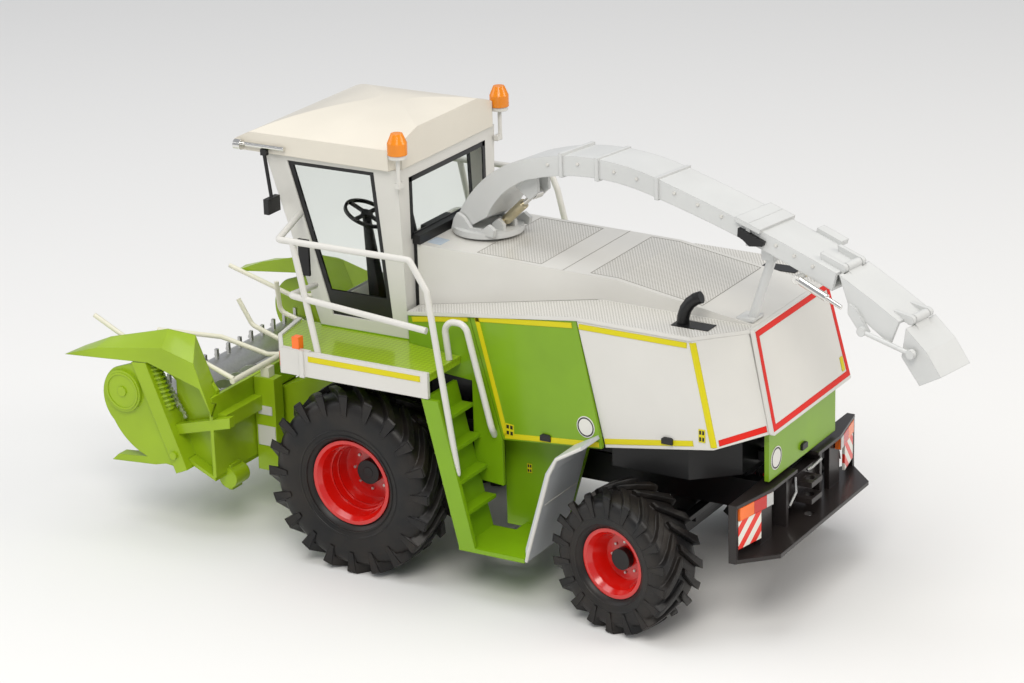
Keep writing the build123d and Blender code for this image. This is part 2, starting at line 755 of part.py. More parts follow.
with BuildPart() as beacon_lenses:
    for side in (1, -1):
        with Locations((ahead(beacon_x - 0.4), side * beacon_y, beacon_z + 0.1)):
            Cylinder(2.9, 3.4, align=(Align.CENTER, Align.CENTER, Align.MIN))
        with Locations((ahead(beacon_x - 0.4), side * beacon_y, beacon_z + 3.5)):
            Cone(2.9, 1.7, 2.8, align=(Align.CENTER, Align.CENTER, Align.MIN))
finish(beacon_lenses.part, "beacon_lenses")

# Mirror arms hang from the roof's front corners, clear of the doors.
with BuildPart() as mirrors:
    for side in (1, -1):
        with BuildLine() as arm:
            Line((ahead(35.6), side * 29.4, 118.8), (ahead(32.4), side * 31.5, 106.6))
        with BuildSketch(Plane(origin=arm.line @ 0, z_dir=arm.line % 0)):
            Circle(0.55)
        sweep()
        with Locations((ahead(35.6), side * (roof_half_width + 0.7), 119.3)):
            Box(2.0, 1.4, 1.8)
        with Locations((ahead(32.0), side * 32.0, 104.6)):
            Box(1.8, 6.0, 4.6)
finish(mirrors.part, "mirrors")

with BuildPart() as work_lamps:
    for side in (1, -1):
        with Locations((ahead(36.0), side * (roof_half_width + 0.7), 121.0)):
            Cylinder(0.7, 15.0, rotation=(0, 90, 0))
        with Locations((ahead(44.0), side * (roof_half_width + 1.55), 120.9)):
            Cylinder(1.5, 2.4, rotation=(0, 90, 0))
        with Locations((ahead(40.0), side * (roof_half_width + 0.5), 121.0)):
            Box(2.0, 1.0, 1.0)
finish(work_lamps.part, "work_lamps")

# ---- Platforms, ladder and rails -----------------------------------------------------------

deck_inner = cab_half_bottom + 0.02
with BuildPart() as platforms:
    for side in (1, -1):
        with BuildSketch(Plane.XY.offset(deck_top - deck_thickness)):
            with BuildLine():
                Polyline(
                    (ahead(deck_rear), side * (deck_outer - board_thickness)),
                    (ahead(deck_front), side * (deck_outer - board_thickness)),
                    (ahead(27.0), side * (38.0 - 0.4)), (ahead(30.0), side * 22.8),
                    (ahead(cab_front_bottom), side * 22.8),
                    (ahead(cab_front_bottom), side * deck_inner),
                    (ahead(cab_rear), side * deck_inner),
                    (ahead(hood_front - 0.05), side * (side_front_y + 0.05)),
                    (ahead(deck_rear), side * (side_line(deck_rear) + 0.05)), close=True,
                )
            make_face()
        extrude(amount=deck_thickness)
finish(platforms.part, "platforms")

board_low = deck_top - board_height
with BuildPart() as platform_boards:
    for side in (1, -1):
        with BuildSketch(Plane.XY.offset(board_low)):
            with BuildLine():
                Polyline(
                    (ahead(deck_rear), side * deck_outer), (ahead(deck_front + 0.6), side * deck_outer),
                    (ahead(28.2), side * 38.0), (ahead(31.4), side * 22.8), (ahead(30.0), side * 22.8),
                    (ahead(27.0), side * (38.0 - 0.4)),
                    (ahead(deck_front), side * (deck_outer - board_thickness)),
                    (ahead(deck_rear), side * (deck_outer - board_thickness)), close=True,
                )
            make_face()
        extrude(amount=board_height + 0.6)
finish(platform_boards.part, "platform_boards")

# The ladder is a slanted stair behind the left front wheel: a back sheet, an outer stringer and
# treads between the stringer and the inner side panel.
ladder_foot = (-37.4, step_z)
ladder_head = (-26.7, board_low - 0.2)
stringer_width = 5.4
tread_pitch = 9.0
tread_depth = 5.0
tread_count = 5
ladder_lean = (ladder_foot[0] - ladder_head[0]) / (ladder_head[1] - ladder_foot[1])  # x per z down
ladder_inner = side_line(panel_split_top) + 0.05


def ladder_x(z):
    """Front face of the ladder at a height."""
    return ladder_head[0] + ladder_lean * (ladder_head[1] - z)


with BuildPart() as ladder:
    with BuildSketch(side_plane.offset(-deck_outer)):
        with BuildLine():
            Polyline(*side_view([
                ladder_head, (ladder_head[0] - stringer_width, ladder_head[1]),
                (ladder_foot[0] - stringer_width, step_z), ladder_foot]), close=True)
        make_face()
    extrude(amount=1.5)
    with BuildSketch(side_plane.offset(-deck_outer + 1.5)):
        with BuildLine():
            Polyline(*side_view([
                ladder_head, (ladder_head[0] - sheet, ladder_head[1]),
                (ladder_foot[0] - sheet, step_z), ladder_foot]), close=True)
        make_face()
    extrude(amount=deck_outer - 1.5 - ladder_inner)
    for step in range(1, tread_count):
        tread_z = step_z + 1.0 + step * tread_pitch
        with Locations((ahead(ladder_x(tread_z) - tread_depth / 2), (deck_outer + ladder_inner) / 2,
                        tread_z - 0.5)):
            Box(tread_depth, deck_outer - ladder_inner - 0.2, 1.1)
    with BuildSketch(Plane.XY.offset(step_z - 1.3)):
        with BuildLine():
            Polyline(
                (ahead(ladder_foot[0]), deck_outer), (ahead(-59.0), deck_outer),
                (ahead(-59.0), 24.6), (ahead(-46.2), 24.6), (ahead(-46.2), ladder_inner),
                (ahead(ladder_foot[0]), ladder_inner), close=True,
            )
        make_face()
    extrude(amount=1.3)
    add(front_side_panels, mode=Mode.SUBTRACT)
finish(ladder.part, "ladder")

# Lower side walls, set back under the service panels
lower_wall_y = 24.5
with BuildPart() as lower_side_walls:
    for side in (1, -1):
        with BuildSketch(side_plane.offset(-side * lower_wall_y)):
            with BuildLine():
                Polyline(*side_view([
                    (-40.0, step_z - 1.3), (-59.0, step_z - 1.3), (-67.8, side_bottom_front),
                    (-67.8, 52.0), (-40.0, 52.0)]), close=True)
            make_face()
        extrude(amount=side * sheet)
finish(lower_side_walls.part, "lower_side_walls")

flap_outline = [(-59.3, step_z - 1.3), (-67.4, 43.4), (-70.3, 48.0), (-78.4, 52.6)]
with BuildPart() as mudguards:
    for side in (1, -1):
        with BuildSketch(side_plane.offset(-side * 25.2)):
            with BuildLine():
                Polyline(*side_view(flap_outline + [
                    (-77.9, 53.5), (-69.6, 48.8), (-66.4, 43.6), (-59.3, step_z + 3.0)]), close=True)
            make_face()
        extrude(amount=-side * (deck_outer - 0.4 - 25.2))
    add(service_panels, mode=Mode.SUBTRACT)
    add(rear_side_panels.part, mode=Mode.SUBTRACT)
finish(mudguards.part, "mudguards")

rail_top = 99.6
rail_low = 81.0
rail_y_line = deck_outer - board_thickness / 2 - 0.9
left_rails = [
    (3.4, [(25.0, 28.0, 101.6), (20.6, rail_y_line, rail_top), (-23.6, rail_y_line, rail_top),
           (-29.0, rail_y_line, 91.0), (-36.6, rail_y_line, 41.0),
           (-37.0, rail_y_line, 37.6), (-35.9, rail_y_line, 36.6)]),
    (2.0, [(21.0, 28.0, 80.2), (17.4, rail_y_line, 83.2), (-28.4, rail_y_line, 79.4)]),
    (1.0, [(15.8, rail_y_line, rail_top), (12.0, rail_y_line, 83.0), (8.6, rail_y_line, 66.0)]),
]
right_rails = [
    (3.4, [(25.0, 28.0, 101.6), (20.6, rail_y_line, rail_top), (-16.6, rail_y_line, rail_top),
           (-19.0, rail_y_line, 94.0), (-26.0, rail_y_line, 66.0)]),
    (2.0, [(21.0, 28.0, 80.2), (17.4, rail_y_line, 83.2), (-21.6, rail_y_line, 80.0)]),
    (1.0, [(15.8, rail_y_line, rail_top), (12.0, rail_y_line, 83.0), (8.6, rail_y_line, 66.0)]),
]
grab_rail = (3.2, [(-27.8, 33.6, deck_top), (-26.4, 33.6, 78.2), (-33.6, 33.6, 78.2),
                   (-41.4, 33.9, 48.0), (-40.6, 31.0, 45.0)])
for name, runs, side in (("handrails_left", left_rails + [grab_rail], 1),
                         ("handrails_right", right_rails, -1)):
    with BuildPart() as handrails:
        for bend, route in runs:
            with BuildLine() as path:
                points = [(ahead(x), side * y, z) for x, y, z in route]
                if len(points) == 3 and bend < 1.5:
                    Line(points[0], points[-1])
                else:
                    FilletPolyline(*points, radius=min(bend, 1.2 if len(points) > 6 else bend))
            with BuildSketch(Plane(origin=path.line @ 0, z_dir=path.line % 0)):
                Circle(rail_radius)
            sweep()
        for seat in (platforms.part, platform_boards.part, ladder.part, front_side_panels):
            add(seat, mode=Mode.SUBTRACT)
    finish(handrails.part, name)

# ---- Exhaust and rear bumper ---------------------------------------------------------------

with BuildPart() as exhaust:
    with BuildLine() as pipe:
        FilletPolyline((ahead(-100.2), 27.4, 82.0), (ahead(-100.2), 27.4, 92.5),
                       (ahead(-105.0), 26.6, 97.0), radius=5.0)
    with BuildSketch(Plane(origin=pipe.line @ 0, z_dir=pipe.line % 0)):
        Circle(1.9)
    sweep()
    with BuildSketch(Plane(origin=pipe.line @ 1, z_dir=pipe.line % 1)):
        Circle(1.2)
    extrude(amount=-3.0, mode=Mode.SUBTRACT)
    with Locations((ahead(-101.0), 27.4, ledge_flat - 0.4)):
        Box(9.4, 1.8, 1.2)
    add(hood_ledges.part, mode=Mode.SUBTRACT)
finish(exhaust.part, "exhaust")

bumper_low = 23.6
with BuildPart() as rear_bumper:
    with BuildSketch(Plane.XY.offset(bumper_low)):
        with BuildLine():
            Polyline(
                (ahead(-113.5), 24.0), (ahead(-119.4), 38.9), (ahead(-120.9), 38.9),
                (ahead(-130.2), 29.4), (ahead(-130.2), -29.4), (ahead(-120.9), -38.9),
                (ahead(-119.4), -38.9), (ahead(-113.5), -24.0), close=True,
            )
        make_face()
    extrude(amount=1.2)
    for side in (1, -1):
        with Locations((ahead(-120.1), side * 38.3, 32.2)):
            Box(2.4, 1.2, 17.2)
        with BuildSketch(Plane.XY.offset(39.8)):
            with BuildLine():
                Polyline(
                    (ahead(-118.9), side * 38.9), (ahead(-121.4), side * 38.9),
                    (ahead(-124.6), side * 22.0), (ahead(-124.6), side * 7.0),
                    (ahead(-118.9), side * 7.0), close=True,
                )
            make_face()
        extrude(amount=1.0)
        with Locations((ahead(-121.6), side * 22.5, 32.0)):
            Box(1.6, 7.0, 16.0)
        with Locations((ahead(-121.2), side * 11.0, 32.0)):
            Box(4.4, 1.4, 16.6)
    with Locations((ahead(-120.6), 0, 33.0)):
        Box(3.2, 21.0, 8.0)
    for level in (30.0, 35.0):
        with Locations((ahead(-124.4), 0, level)):
            Box(6.0, 7.0, 1.6)
    with Locations((ahead(-125.0), 0, 32.5)):
        Hole(1.5, depth=10)
finish(rear_bumper.part, "rear_bumper")

lamp_line = ((-121.6, 37.4), (-124.4, 22.4))
with BuildPart() as tail_lamps:
    for side in (1, -1):
        with BuildSketch(Plane.XY.offset(36.0)):
            with BuildLine():
                Polyline(
                    (ahead(-121.6), side * 37.4), (ahead(-124.4), side * 22.4),
                    (ahead(-122.6), side * 22.4), (ahead(-120.8), side * 37.4), close=True,
                )
            make_face()
        extrude(amount=3.8)
    add(rear_bumper.part, mode=Mode.SUBTRACT)
finish(tail_lamps.part, "tail_lamps")

with BuildPart() as warning_boards:
    for side in (1, -1):
        with BuildSketch(Plane.XY.offset(27.6)):
            with BuildLine():
                Polyline(
                    (ahead(-121.4), side * 37.6), (ahead(-123.4), side * 27.6),
                    (ahead(-122.5), side * 27.6), (ahead(-120.6), side * 37.6), close=True,
                )
            make_face()
        extrude(amount=8.3)
finish(warning_boards.part, "warning_boards")

# ---- Chute ---------------------------------------------------------------------------------

slew = radians(chute_slew)
chute_dir = (-cos(slew), sin(slew), 0)
chute_plane = Plane(origin=(ahead(chute_x), 0, 0), x_dir=chute_dir, z_dir=(sin(slew), cos(slew), 0))


def along_chute(reach, off, z):
    """Point at a reach along the chute, off to its left, at a height."""
    return (ahead(chute_x) - cos(slew) * reach + sin(slew) * off,
            sin(slew) * reach + cos(slew) * off, z)


with BuildPart() as chute_turntable:
    with Locations((ahead(chute_x), 0, turntable_z + gap + 0.9)):
        Cylinder(turntable_radius, 1.8)
    for off in (1, -1):
        with BuildSketch(chute_plane.offset(off * (chute_half + gap))):
            with BuildLine():
                Polyline((-7.0, 96.4), (9.0, 96.4), (9.6, 98.6), (7.2, 99.9), (4.8, 98.0),
                         (0.4, 97.8), (-2.2, 100.6), (-4.6, 101.6), (-6.0, 99.6), close=True)
            make_face()
        extrude(amount=off * 1.3)
    with Locations(chute_plane.offset(0).location * Location((lift_pin_r, lift_pin_z, 0))):
        Cylinder(0.8, 2 * (chute_half + gap + 1.3))
    with BuildSketch(chute_plane):
        with BuildLine():
            Polyline((4.2, 96.4), (8.4, 96.4), (8.4, 98.8), (6.4, 100.4), (4.2, 98.8), close=True)
        make_face()
    extrude(amount=3.2, both=True)
    with BuildSketch(chute_plane):
        with BuildLine():
            Polyline((3.0, 97.2), (9.2, 97.2), (9.2, 101.5), (3.0, 101.5), close=True)
        make_face()
    extrude(amount=1.9, both=True, mode=Mode.SUBTRACT)
    with Locations(chute_plane.location * Location((6.4, 98.9, 0))):
        Cylinder(0.6, 6.2)
finish(chute_turntable.part, "chute_turntable")

tip_hinge_r = flap_hinge_r + flap_reach
flap_pin = (flap_hinge_r + 0.2, flap_hinge_z + 1.6)
tip_pin = (tip_hinge_r - 0.4, tip_hinge_z + 1.4)
pin_bore = 0.6 + bore_clearance
boom_fall_r = 70.0  # where the boom begins to fall towards the flap
boom_bend_r = boom_fall_r + 0.48 * (flap_hinge_r - boom_fall_r)
boom_under = (112.0, flap_hinge_z - 4.2)  # its underside at the bend and at the flap
boom_under_fall = (boom_under[0] - boom_under[1]) / (flap_hinge_r - 1.4 - boom_bend_r)


def under_boom(reach):
    """Height just under the boom at a reach on its falling stretch."""
    return boom_under[0] - boom_under_fall * (reach - boom_bend_r)


def from_hinge(reach, height, points):
    """Points given as (further out, higher) than a hinge, in the chute's plane."""
    return [(reach + out, height + up) for out, up in points]


# Boom outline in the chute's plane as (reach, z): the outer and the inner edge
with BuildPart() as chute_boom:
    with BuildSketch(chute_plane):
        with BuildLine():
            ThreePointArc((-6.0, 99.6), (3.4, 111.8), (21.6, 121.8))
            ThreePointArc((21.6, 121.8), (44.0, 125.9), (boom_fall_r, 123.6))
            ThreePointArc((boom_fall_r, 123.6), (boom_bend_r + 0.4, 116.9), (flap_hinge_r, 108.4))
            Line((flap_hinge_r, 108.4), (flap_hinge_r - 1.4, 103.2))
            ThreePointArc((flap_hinge_r - 1.4, 103.2), (boom_bend_r - 0.6, 112.0),
                          (boom_fall_r - 2.0, 118.4))
            ThreePointArc((boom_fall_r - 2.0, 118.4), (44.0, 120.2), (24.0, 116.4))
            ThreePointArc((24.0, 116.4), (12.0, 110.0), (5.4, 101.6))
            Line((5.4, 101.6), (-1.6, 97.4))
            Line((-1.6, 97.4), (-6.0, 99.6))
        make_face()
    extrude(amount=chute_half, both=True)
    # Collars: reach, top, underside
    for reach, top, low in (
        (34.0, 125.6, 118.6), (47.0, 126.4, 119.7), (boom_fall_r - 2.0, 124.4, 118.0),
        (rest_reach - 3.0, under_boom(rest_reach - 3.0) + 5.8, under_boom(rest_reach - 3.0) - 0.9),
    ):
        with BuildSketch(chute_plane):
            with Locations((reach, (top + low) / 2)):
                Rectangle(1.3, top - low)
        extrude(amount=chute_half + 0.5, both=True)
    with BuildSketch(chute_plane):
        with BuildLine():
            ThreePointArc((-5.6, 98.0), (4.3, 111.0), (22.0, 120.9))
            ThreePointArc((22.0, 120.9), (44.0, 125.0), (boom_fall_r - 0.2, 122.7))
            ThreePointArc((boom_fall_r - 0.2, 122.7), (boom_bend_r + 0.4, 116.0),
                          (flap_hinge_r + 0.2, 107.4))
            Line((flap_hinge_r + 0.2, 107.4), (flap_hinge_r - 1.0, 104.0))
            ThreePointArc((flap_hinge_r - 1.0, 104.0), (boom_bend_r - 0.6, 112.9),
                          (boom_fall_r - 1.8, 119.3))
            ThreePointArc((boom_fall_r - 1.8, 119.3), (44.0, 121.1), (23.6, 117.3))
            ThreePointArc((23.6, 117.3), (11.2, 110.7), (4.4, 101.4))
            Line((4.4, 101.4), (-1.6, 96.8))
            Line((-1.6, 96.8), (-5.6, 98.0))
        make_face()
    extrude(amount=chute_half - chute_wall, both=True, mode=Mode.SUBTRACT)
    with Locations(chute_plane.location * Location((lift_pin_r, lift_pin_z, 0))):
        Cylinder(0.8 + bore_clearance, 2 * chute_half + 1, mode=Mode.SUBTRACT)
    for off in (1, -1):
        with BuildSketch(chute_plane.offset(off * 1.9)):
            with BuildLine():
                Polyline((13.0, 111.4), (21.4, 116.0), (21.6, 110.8), (18.4, 108.0), close=True)
            make_face()
        extrude(amount=off * 1.0)
    with Locations(chute_plane.location * Location((18.4, 109.6, 0))):
        Cylinder(0.6, 4.6)
    with Locations(chute_plane.location * Location((*flap_pin, 0))):
        Cylinder(1.5, 6.6, mode=Mode.SUBTRACT)
    for off in (1, -1):
        with BuildSketch(chute_plane.offset(off * 3.3)):
            with Locations(flap_pin):
                Circle(1.2)
            with BuildLine():
                Polyline(*from_hinge(*flap_pin, [(-7.0, 3.2), (0, 1.2), (0, -1.0), (-6.6, 1.0)]),
                         close=True)
            make_face()
        extrude(amount=off * 1.4)
    with BuildSketch(chute_plane):
        with Locations(flap_pin):
            Circle(0.6)
    extrude(amount=4.0, both=True)
finish(chute_boom.part, "chute_boom")

flap_hinge = (flap_hinge_r, flap_hinge_z)
tip_hinge = (tip_hinge_r, tip_hinge_z)
# name, pin, outline and inner cut in the chute's plane, next pin or None
flap_tables = [
    ("chute_flap", flap_pin,
     from_hinge(*flap_hinge, [(0.8, 0.8), (11.5, -4.2), (19.8, -8.44), (17.1, -15.2), (4.1, -7.8)]),
     from_hinge(*flap_hinge, [(-0.5, 0), (11.1, -5.1), (21.5, -10.2), (17.1, -19.4), (-0.5, -11.4)]),
     tip_pin),
    ("chute_tip", tip_pin,
     from_hinge(*tip_hinge, [(-0.1, 0), (6.3, -5.2), (10.9, -11.3), (4.4, -15.0), (-1.3, -8.2)]),
     from_hinge(*tip_hinge, [(-1.1, -0.6), (5.5, -5.8), (10.7, -13.0), (4.5, -17.6), (-5.5, -9.6)]),
     None),
]
for name, pin, outline, hollow, next_pin in flap_tables:
    root = [start + 0.35 * (end - start) for start, end in zip(outline[0], outline[1])]
    with BuildPart() as flap:
        with BuildSketch(chute_plane):
            with BuildLine():
                Polyline(*outline, close=True)
            make_face()
        extrude(amount=chute_half, both=True)
        with BuildSketch(chute_plane):
            with BuildLine():
                Polyline(*hollow, close=True)
            make_face()
        extrude(amount=chute_half - chute_wall, both=True, mode=Mode.SUBTRACT)
        with BuildSketch(chute_plane):
            with Locations(pin):
                Circle(1.5)
        extrude(amount=5.2, both=True, mode=Mode.SUBTRACT)
        with BuildSketch(chute_plane):
            with Locations(pin):
                Circle(1.2)
            with BuildLine():
                Polyline((pin[0], pin[1] - 1.2), (root[0] - 1.0, root[1] - 0.5),
                         (root[0], root[1] - 0.5), pin, close=True)
            make_face()
        extrude(amount=3.0, both=True)
        with BuildSketch(chute_plane):
            with Locations(pin):
                Circle(pin_bore)
        extrude(amount=chute_half, both=True, mode=Mode.SUBTRACT)
        if next_pin:
            for off in (1, -1):
                with BuildSketch(chute_plane.offset(off * 3.3)):
                    with Locations(next_pin):
                        Circle(1.2)
                    with BuildLine():
                        Polyline((next_pin[0] - 6.5, next_pin[1] + 1.9),
                                 (next_pin[0], next_pin[1] + 1.2),
                                 (next_pin[0], next_pin[1] - 1.0),
                                 (next_pin[0] - 3.1, next_pin[1] - 0.4), close=True)
                    make_face()
                extrude(amount=off * 1.4)
            with BuildSketch(chute_plane):
                with Locations(next_pin):
                    Circle(0.6)
            extrude(amount=4.0, both=True)
            # Crank and rod on the left side, which lead to the tip
            with BuildSketch(chute_plane.offset(chute_half - 0.1)):
                with BuildLine():
                    Polyline(*from_hinge(*flap_hinge, [
                        (4.3, -6.4), (6.9, -7.4), (10.9, -13.0), (8.9, -14.6), (4.3, -9.2)]),
                        close=True)
                make_face()
            extrude(amount=1.0)
            rod_start = (flap_hinge_r + 9.2, flap_hinge_z - 12.9)
            rod_end = (tip_hinge_r + 2.5, tip_hinge_z - 6.2)
            with BuildLine() as rod:
                Line(chute_plane.from_local_coords((*rod_start, chute_half + 1.4)),
                     chute_plane.from_local_coords((*rod_end, chute_half + 1.4)))
            with BuildSketch(Plane(origin=rod.line @ 0, z_dir=rod.line % 0)):
                Circle(0.65)
            sweep()
            with BuildSketch(chute_plane.offset(chute_half + 0.7)):
                with Locations(rod_end, rod_start):
                    Circle(1.3)
            extrude(amount=1.4)
    finish(flap.part, name)

cylinder_eye = (flap_hinge_r - 10.9, flap_hinge_z - 2.2)
cylinder_end = (flap_hinge_r - 1.5, flap_hinge_z - 5.6)
with BuildPart() as flap_cylinder:
    with BuildLine() as stroke:
        Line(chute_plane.from_local_coords((*cylinder_eye, chute_half + 2.2)),
             chute_plane.from_local_coords((*cylinder_end, chute_half + 2.2)))
    with BuildSketch(Plane(origin=stroke.line @ 0, z_dir=stroke.line % 0)):
        Circle(1.1)
    sweep()
    with BuildSketch(Plane(origin=stroke.line @ 1, z_dir=stroke.line % 1)):
        Circle(0.6)
    extrude(amount=5.0)
    with BuildSketch(chute_plane.offset(chute_half)):
        with Locations(cylinder_eye):
            Circle(1.2)
    extrude(amount=3.2)
finish(flap_cylinder.part, "flap_cylinder")

# Lift cylinder of the chute between the turntable and the boom
lift_foot = (6.4, 98.9)
lift_head = (18.4, 109.6)
lift_run = Vector(lift_head[0] - lift_foot[0], lift_head[1] - lift_foot[1], 0)
lift_along = lift_run.normalized()
lift_length = lift_run.length
foot_point = chute_plane.from_local_coords((lift_foot[0], lift_foot[1], 0))
along_point = chute_plane.from_local_coords((lift_foot[0] + lift_along.X,
                                             lift_foot[1] + lift_along.Y, 0))
lift_axis = Plane(origin=foot_point, z_dir=Vector(*along_point) - Vector(*foot_point))
barrel_radius = 1.5
rod_radius = 0.8
with BuildPart() as lift_barrel:
    with BuildSketch(chute_plane):
        with Locations(lift_foot):
            Circle(1.2)
    extrude(amount=1.7, both=True)
    with BuildSketch(lift_axis.offset(0.8)):
        Circle(barrel_radius)
    extrude(amount=9.2)
    with BuildSketch(lift_axis.offset(2.4)):
        Circle(rod_radius + bore_clearance)
    extrude(amount=9.0, mode=Mode.SUBTRACT)
    with BuildSketch(chute_plane):
        with Locations(lift_foot):
            Circle(pin_bore)
    extrude(amount=3.0, both=True, mode=Mode.SUBTRACT)
finish(lift_barrel.part, "lift_barrel")

with BuildPart() as lift_rod:
    with BuildSketch(lift_axis.offset(5.0)):
        Circle(rod_radius)
    extrude(amount=lift_length - 5.0 - 1.0)
    with BuildSketch(chute_plane):
        with Locations(lift_head):
            Circle(1.7)
    extrude(amount=1.5, both=True)
    with BuildSketch(chute_plane):
        with Locations(lift_head):
            Circle(1.0)
    extrude(amount=3.0, both=True, mode=Mode.SUBTRACT)
finish(lift_rod.part, "lift_rod")

# Rest on the rear of the hood, just under the chute
rest_foot = (ahead(-115.2), 16.2, 86.7)
rest_top = under_boom(rest_reach) - rest_clearance
with BuildPart() as chute_rest:
    with BuildLine() as post:
        Line(rest_foot, along_chute(rest_reach, 0, rest_top - 3.0))
    with BuildSketch(Plane(origin=post.line @ 0, z_dir=post.line % 0)):
        Circle(1.3)
    sweep()
    with Locations((ahead(-114.4), rest_foot[1], 87.3)):
        Box(5.2, 6.4, 0.8)
    with BuildSketch(chute_plane):
        with BuildLine():
            Polyline((rest_reach - 2, rest_top - 3.8), (rest_reach + 2, rest_top - 3.8),
                     (rest_reach + 2, rest_top - 1.0), (rest_reach - 2, rest_top), close=True)
        make_face()
    extrude(amount=2.6, both=True)
    add(hood_top.part, mode=Mode.SUBTRACT)
finish(chute_rest.part, "chute_rest")

# ---- Header --------------------------------------------------------------------------------

with BuildPart() as feed_housing:
    with BuildSketch(side_plane):
        with BuildLine():
            Polyline(*side_view([
                (15.0, 36.0), (15.0, 44.0), (24.0, 49.6), (40.0, 42.6), (50.4, 36.8),
                (50.4, 20.8), (44.0, 20.0), (28.0, 29.0)]), close=True)
        make_face()
    extrude(amount=feed_outer, both=True)
    with BuildSketch(side_plane):
        with BuildLine():
            Polyline(*side_view([
                (14.0, 37.4), (14.0, 42.6), (24.4, 48.2), (39.6, 41.4), (51.0, 35.0),
                (51.0, 22.2), (44.4, 21.4), (28.8, 30.4)]), close=True)
        make_face()
    extrude(amount=throat_half, both=True, mode=Mode.SUBTRACT)
    for side in (1, -1):
        with Locations((ahead(header_hinge_x), side * (feed_outer + 1.4), header_hinge_z)):
            Cylinder(2.0, 3.0, rotation=(90, 0, 0))
finish(feed_housing.part, "feed_housing")

beam_x = 44.6
with BuildPart() as header_frame:
    with BuildSketch(side_plane):
        with BuildLine():
            Polyline(*side_view([(48.6, 20.6), (49.8, 20.6), (49.8, 46.0), (48.6, 46.0)]),
                     close=True)
        make_face()
    extrude(amount=header_half - header_plate, both=True)
    with BuildSketch(side_plane):
        with BuildLine():
            Polyline(*side_view([
                (49.0, 20.6), (49.0, 19.4), (60.0, 24.4), (66.0, 24.4), (66.0, 25.6),
                (59.6, 25.6), (50.0, 21.0)]), close=True)
        make_face()
    extrude(amount=header_half - header_plate, both=True)
    with Locations((ahead(47.8), 0, 28.4)):
        Box(5.3, 2 * feed_outer, 20.0, mode=Mode.SUBTRACT)
    for side in (1, -1):
        with Locations((ahead(beam_x), side * 21.6, 31.0)):
            Box(7.4, 4.4, 30.0)
        with Locations((ahead(47.4), side * 33.0, 38.0)):
            Box(3.6, 19.0, 4.4)
        with BuildSketch(side_plane.offset(-side * 42.6)):
            with BuildLine():
                Polyline(*side_view([(42.4, 40.8), (42.6, 37.4), (66.0, 31.2), (66.4, 34.3)]),
                         close=True)
            make_face()
        extrude(amount=-side * (header_half - header_plate - 42.6))
        with Locations((ahead(48.6), side * 36.0, 18.4)):
            Cylinder(3.2, 7.0, rotation=(90, 0, 0))
            Box(1.6, 5.0, 8.0)
finish(header_frame.part, "header_frame")

shaft_radius = 1.5
strut = [(75.6, 54.0), (70.4, 54.6), (57.4, 22.4), (61.6, 20.6)]
with BuildPart() as header_sides:
    for side in (1, -1):
        outer = side_plane.offset(-side * header_half)
        with BuildSketch(outer):
            with BuildLine():
                Polyline(*side_view([(73.0, 54.3), (83.4, 50.6)]))
                ThreePointArc((ahead(83.4), 50.6), (ahead(87.9), 41.6), (ahead(84.5), 33.6))
                ThreePointArc((ahead(84.5), 33.6), (ahead(77.6), 26.0), (ahead(68.7), 22.8))
                Polyline(*side_view([(68.7, 22.8), (58.5, 21.9), (73.0, 54.3)]))
            make_face()
        extrude(amount=side * header_plate)
        with BuildSketch(outer):
            with BuildLine():
                Polyline(*side_view(strut), close=True)
            make_face()
        extrude(amount=-side * 1.2)
        with BuildSketch(outer):
            with BuildLine():
                Polyline(*side_view(strut), close=True)
            make_face()
        extrude(amount=side * 5.0)
        with BuildSketch(side_plane.offset(-side * (header_half - 5.0))):
            with BuildLine():
                Polyline(*side_view([(72.0, 54.4), (58.0, 57.5), (49.2, 47.0), (49.2, 20.3),
                                     (60.0, 25.0), (64.0, 25.0), (64.0, 48.0)]), close=True)
            make_face()
        extrude(amount=side * header_plate)
        with Locations((ahead(79.9), side * (header_half + 0.3), 44.0)):
            Cylinder(6.6, 1.6, rotation=(90, 0, 0))
        with BuildLine() as coil:
            Line((ahead(70.6), side * (header_half - 2.4), 53.0),
                 (ahead(65.2), side * (header_half - 2.4), 39.4))
        with BuildSketch(Plane(origin=coil.line @ 0, z_dir=coil.line % 0)):
            Circle(1.8)
        sweep()
        with BuildSketch(outer):
            with BuildLine():
                Polyline(*side_view([(86.4, 20.4), (84.0, 22.6), (70.0, 24.0), (66.0, 22.6),
                                     (70.0, 21.6)]), close=True)
            make_face()
        extrude(amount=side * 4.0)
    add(header_frame.part, mode=Mode.SUBTRACT)
    with Locations((ahead(reel_x), 0, reel_z)):
        Cylinder(shaft_radius + bore_clearance, 2 * (header_half - header_plate + 1.0),
                 rotation=(90, 0, 0), mode=Mode.SUBTRACT)
    with Locations((ahead(auger_x), 0, auger_z)):
        Cylinder(shaft_radius + bore_clearance, 2 * (header_half - 5.0 - 0.4),
                 rotation=(90, 0, 0), mode=Mode.SUBTRACT)
finish(header_sides.part, "header_sides")

